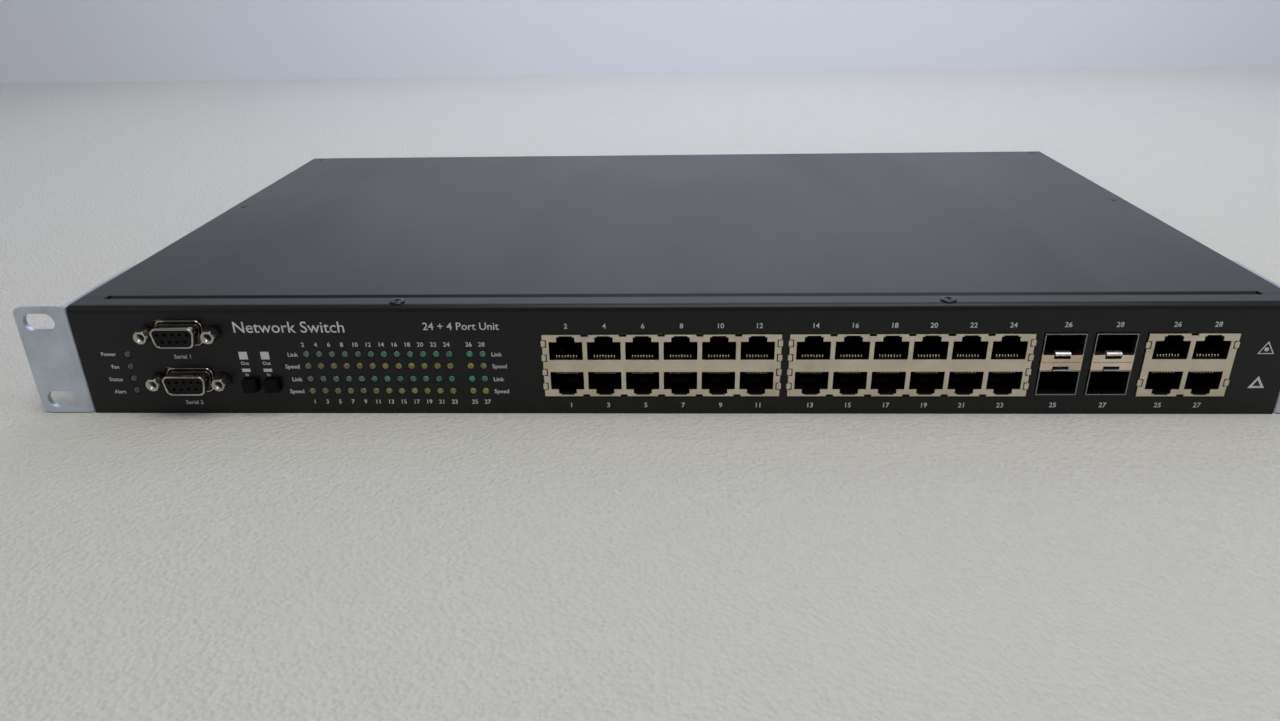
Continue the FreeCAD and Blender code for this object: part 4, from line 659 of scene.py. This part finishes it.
def caseScrews():
    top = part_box("top_cover")[1].z / mm
    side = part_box("base_tray")[1].x / mm
    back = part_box("rear_panel")[1].y / mm
    black, zinc = materials["black_screw"], materials["zinc_screw"]
    strip = crossScrew("stripScrew", screws["strip"], True,
                       (-screws["stripX"], panelFace + screws["stripY"], top), (0, 0, 1), black)
    placeScrews("stripScrews", "strip_screws", "black_screw",
                [repeated("strip", strip, black, 2, (2 * screws["stripX"], 0, 0))])
    near, far = screws["lidY"]
    flat = crossScrew("lidScrew", screws["lid"], False, (-screws["lidX"], near, top - screws["lidSunk"]),
                      (0, 0, 1), black)
    placeScrews("lidScrews", "lid_screws", "black_screw",
                [repeated("lid", flat, black, 2, (2 * screws["lidX"], 0, 0), 2, (0, far - near, 0))])
    ears, rears = [], []
    lift = (0, 0, screws["sideRise"])
    for way in (-1, 1):
        ear = crossScrew("earScrew", screws["ear"], True,
                         (way * (side + screws["earMetal"]), panelFace + screws["earY"], screws["sideZ"]),
                         (way, 0, 0), zinc)
        ears.append(repeated("ear", ear, zinc, 2, (0, screws["earStep"], 0), 2, lift))
        rear = crossScrew("sideScrew", screws["side"], True,
                          (way * side, back - screws["sideY"], screws["sideZ"]), (way, 0, 0), black)
        rears.append(repeated("side", rear, black, rows=2, rowStep=lift))
    placeScrews("earScrews", "rack_ear_screws", "zinc_screw", ears)
    placeScrews("rearSideScrews", "rear_side_screws", "black_screw", rears)
    fanScrews, reach = [], screws["fanReach"]
    for middle in screws["fanX"]:
        screw = crossScrew("fanScrew", screws["fan"], True,
                           (middle - reach, back + screws["guardThick"], screws["fanZ"]), (0, 1, 0), black)
        fanScrews.append(repeated("fan", screw, black, 2, (2 * reach, 0, 0), 2, (0, 0, 2 * reach)))
    placeScrews("fanScrews", "fan_screws", "black_screw", fanScrews)
    left, right = screws["inletX"]
    inletScrew = crossScrew("inletScrew", screws["inlet"], True,
                            (left, back + screws["inletFlange"], screws["inletZ"]), (0, 1, 0), black)
    placeScrews("inletScrews", "inlet_screws", "black_screw",
                [repeated("inlet", inletScrew, black, 2, (right - left, 0, 0))])


caseScrews()
print("screws made")


# serial sockets

serial = {"x": -180.5, "heights": (33.35, 14.2), "wide": 16.9, "tall": 7.9, "lean": 1.4, "proud": 5.8,
          "round": 2.2, "rim": 0.75, "collarWide": 18.9, "collarTall": 10.1, "collarRound": 3.0,
          "collarProud": 0.35, "flangeGrow": 13.0, "flangeThick": 0.7, "nutSpacing": 25.0, "nutFlat": 4.8,
          "nutProud": 5.0}


def dRing(middleX, middleZ, wide, tall, lean, radius, depth, perCorner=7):
    # rounded D outline, wide side up, at one depth
    low = wide / 2 - lean
    corners = [(-low, -tall / 2), (low, -tall / 2), (wide / 2, tall / 2), (-wide / 2, tall / 2)]
    ring = []
    for index, corner in enumerate(corners):
        here, before, after = Vector(corner), Vector(corners[index - 1]), Vector(corners[(index + 1) % 4])
        toBefore, toAfter = (before - here).normalized(), (after - here).normalized()
        halfAngle = toBefore.angle(toAfter) / 2
        reach = radius / math.tan(halfAngle)
        centre = here + (toBefore + toAfter).normalized() * (radius / math.sin(halfAngle))
        start, end = here + toBefore * reach - centre, here + toAfter * reach - centre
        for k in range(perCorner):
            share = k / (perCorner - 1)
            arm = (start * (1 - share) + end * share).normalized() * radius
            ring.append((middleX + centre.x + arm.x, depth, middleZ + centre.y + arm.y))
    return ring


def serialShell(middleZ):
    # drawn shell with a rolled lip, standing in a wider collar
    tip, root, seat = panelFace - serial["proud"], panelFace + 1.9, panelFace + 1.3
    rim, front = serial["rim"], panelFace - serial["collarProud"]

    def ring(inset, depth):
        return dRing(serial["x"], middleZ, serial["wide"] - 2 * inset, serial["tall"] - 2 * inset,
                     serial["lean"], serial["round"] - inset * 0.7, depth)

    def collarRing(inset, depth):
        return dRing(serial["x"], middleZ, serial["collarWide"] - 2 * inset, serial["collarTall"] - 2 * inset,
                     serial["lean"], serial["collarRound"] - inset * 0.7, depth)

    shell = [ring(0, root), ring(0, tip + 0.35), ring(0.1, tip + 0.12), ring(0.3, tip), ring(rim - 0.25, tip),
             ring(rim - 0.08, tip + 0.12), ring(rim, tip + 0.4), ring(rim, tip + 0.9), ring(0.42, tip + 1.1),
             ring(0.42, root)]
    collar = [collarRing(0, seat), collarRing(0, front + 0.15), collarRing(0.12, front),
              collarRing(0.38, front), collarRing(0.5, front + 0.15), collarRing(0.9, seat)]
    meshes = [ringStack("shell", shell, True), ringStack("collar", collar, True)]
    for mesh in meshes:
        smoothFaces(mesh, 40)
    return meshes


def serialSocket(name, node, middleZ):
    piece = joined(name, serialShell(middleZ) + [serialFlange(middleZ)], nickelShell)
    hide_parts(node)
    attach(piece, "chassis")


def serialFlange(middleZ):
    # flat flange behind the panel, with the shell's opening
    near, grow = panelFace + 1.25, serial["flangeGrow"]
    far = near + serial["flangeThick"]

    def outline(extra, depth):
        return dRing(serial["x"], middleZ, serial["wide"] - 0.2 + extra, serial["tall"] - 0.2 + extra * 0.3,
                     serial["lean"], serial["round"], depth)

    rings = [outline(0, near), outline(grow, near), outline(grow, far), outline(0, far)]
    return ringStack("flange", rings, True)


serialSocket("alarmSocketShell", "alarm_port_shell", serial["heights"][0])
serialSocket("consoleSocketShell", "console_port_shell", serial["heights"][1])


def jackNut():
    # hexagonal pillar with a chamfered face and thread ridges in its bore
    across = serial["nutFlat"] / 2
    tip, seat = panelFace - serial["nutProud"], panelFace - 0.6
    segments = 36

    def hexRing(depth):
        ring = []
        for k in range(segments):
            angle = math.tau * k / segments
            fold = (angle + math.pi / 6) % (math.pi / 3) - math.pi / 6
            reach = across / math.cos(fold)
            ring.append((reach * math.sin(angle), depth, reach * math.cos(angle)))
        return ring

    def roundRing(radius, depth):
        angles = [math.tau * k / segments for k in range(segments)]
        return [(radius * math.sin(angle), depth, radius * math.cos(angle)) for angle in angles]

    rings = [roundRing(1.6, panelFace + 2.0), roundRing(1.6, seat), hexRing(seat), hexRing(tip + 0.45),
             roundRing(across * 0.98, tip), roundRing(1.75, tip), roundRing(1.45, tip + 0.3)]
    for turn in range(6):
        start = tip + 0.3 + turn * 0.6
        rings += [roundRing(1.22, start + 0.3), roundRing(1.45, start + 0.6)]
    mesh = ringStack("jackNut", rings)
    smoothFaces(mesh, 28)
    return mesh


nutField = []
for middleZ in serial["heights"]:
    nut = shifted(jackNut(), (serial["x"] - serial["nutSpacing"] / 2, 0, middleZ))
    nutField.append(repeated("nuts", nut, materials["zinc_screw"], 2, (serial["nutSpacing"], 0, 0)))
jackNuts = joined("jackNuts", nutField, materials["zinc_screw"])
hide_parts("serial_jack_nuts")
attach(jackNuts, "chassis")
print("serial sockets made")


# power inlet

inlet = {"x": 165, "z": 21.8, "flange": (50, 22.4), "flangeRound": 3.0, "proud": 2.5, "edge": 0.6,
         "body": (27, 19.6), "bodyRound": 1.5, "bodyDeep": 22, "mouth": (24, 16), "mouthDeep": 14,
         "mouthCut": 3.6}


def inletRing(wide, tall, upper, lower, depth, cut=False):
    # rectangle seen from behind with rounded corners; with cut the upper two are straight chamfers
    ring = []
    for wayX, wayZ in ((1, 1), (-1, 1), (-1, -1), (1, -1)):
        radius = upper if wayZ > 0 else lower
        centre = Vector((wayX * (wide / 2 - radius), wayZ * (tall / 2 - radius)))
        side, level = Vector((wayX * radius, 0)), Vector((0, wayZ * radius))
        start, end = (side, level) if wayX * wayZ > 0 else (level, side)
        for k in range(7):
            arm = start.lerp(end, k / 6)
            if not (cut and wayZ > 0):
                arm = arm.normalized() * radius
            ring.append((inlet["x"] + centre.x + arm.x, depth, inlet["z"] + centre.y + arm.y))
    return ring


def powerInlet():
    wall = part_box("rear_panel")[1].y / mm
    face, edge, cut = wall + inlet["proud"], inlet["edge"], inlet["mouthCut"]
    flange, body, mouth = inlet["flange"], inlet["body"], inlet["mouth"]
    outer, inner = [inlet["flangeRound"]] * 2, [inlet["bodyRound"]] * 2
    rings = [
        inletRing(*body, *inner, wall - inlet["bodyDeep"]), inletRing(*body, *inner, wall),
        inletRing(*flange, *outer, wall), inletRing(*flange, *outer, face - edge),
        inletRing(flange[0] - 0.4, flange[1] - 0.4, 2.8, 2.8, face - 0.15),
        inletRing(flange[0] - 2 * edge, flange[1] - 2 * edge, 2.6, 2.6, face),
        inletRing(mouth[0] + 2.2, mouth[1] + 2.2, cut + 0.6, 1.6, face, True),
        inletRing(mouth[0] + 1.8, mouth[1] + 1.8, cut + 0.5, 1.5, face - 0.5, True),
        inletRing(mouth[0] + 0.8, mouth[1] + 0.8, cut + 0.2, 1.2, face - 0.5, True),
        inletRing(*mouth, cut, 1.0, face - 0.9, True),
        inletRing(*mouth, cut, 1.0, wall - inlet["mouthDeep"], True)]
    mesh = ringStack("powerInlet", rings)
    smoothFaces(mesh, 35)
    piece = newPiece("powerInlet", mesh, materials["inlet_plastic"])
    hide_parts("power_inlet")
    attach(piece, "chassis")


powerInlet()
print("power inlet made")


# floor, backdrop, lights, camera

stageSetup = {"floor": "#cfcecb", "backdrop": "#dfe2ea", "frontY": -2.2, "backY": 0.85, "wallLean": 0.1,
              "halfWidth": 2.6, "wallHigh": 2.4}


def stageQuad(name, corners, material):
    mesh = bpy.data.meshes.new(name)
    mesh.from_pydata(corners, [], [(0, 1, 2, 3)])
    newPiece(name, mesh, material)


halfWidth, frontY, backY = stageSetup["halfWidth"], stageSetup["frontY"], stageSetup["backY"]
topY, wallHigh = backY + stageSetup["wallLean"], stageSetup["wallHigh"]
# vinyl with an embossed grain
floorFinish = mouldedPlastic("paleFloor", stageSetup["floor"], stageSetup["floor"], (0.75, 0.85), 1.7, 0.2,
                             (1.0, 0.7))
stageQuad("stageFloor", [(-halfWidth, frontY, 0), (halfWidth, frontY, 0), (halfWidth, backY, 0),
                         (-halfWidth, backY, 0)], floorFinish)
wallFinish = mouldedPlastic("paleBackdrop", stageSetup["backdrop"], stageSetup["backdrop"], (0.85, 0.95), 2.5,
                            0.1)
stageQuad("stageBackdrop", [(-halfWidth, backY, 0), (halfWidth, backY, 0), (halfWidth, topY, wallHigh),
                            (-halfWidth, topY, wallHigh)], wallFinish)


def areaLight(name, place, target, width, height, power, colour):
    data = bpy.data.lights.new(name, "AREA")
    data.shape = "RECTANGLE"
    data.size = width
    data.size_y = height
    data.energy = power
    data.color = hexColour(colour)[:3]
    lamp = bpy.data.objects.new(name, data)
    lamp.location = place
    lamp.rotation_euler = (Vector(target) - Vector(place)).to_track_quat("-Z", "Y").to_euler()
    scene.collection.objects.link(lamp)


areaLight("softTop", (0.2, -0.32, 1.15), (0.12, -0.1, 0), 0.9, 0.75, 7.4, "#fffdf6")
areaLight("softCeiling", (0.2, 0.27, 1.15), (0.15, 0.1, 0), 0.9, 0.35, 0.6, "#ffffff")
areaLight("softBack", (0.1, 0.4, 1.1), (0.1, 0.85, 0.85), 0.8, 0.35, 8.4, "#e6edff")
areaLight("softLeft", (-1.6, -0.9, 1.1), (0, 0, 0), 1.0, 1.0, 2.5, "#fffaf2")
areaLight("softRight", (1.6, -0.7, 1.1), (0, 0, 0), 1.0, 1.0, 3, "#f6f9ff")
world = bpy.data.worlds.new("softRoom")
world.use_nodes = True
world.node_tree.nodes["Background"].inputs["Color"].default_value = hexColour("#e4e6ea")
world.node_tree.nodes["Background"].inputs["Strength"].default_value = 0.26
scene.world = world
scene.view_settings.view_transform = "Standard"

view = {"lens": 25.61, "place": (0.00166, -0.43073, 0.1607), "turnDegrees": (65.45, 0.966, 1.938)}
cameraData = bpy.data.cameras.new("camera")
cameraData.lens = view["lens"]
cameraData.sensor_width = 36
cameraData.clip_start = 0.01
camera = bpy.data.objects.new("camera", cameraData)
camera.location = view["place"]
camera.rotation_euler = [math.radians(angle) for angle in view["turnDegrees"]]
scene.collection.objects.link(camera)
scene.camera = camera
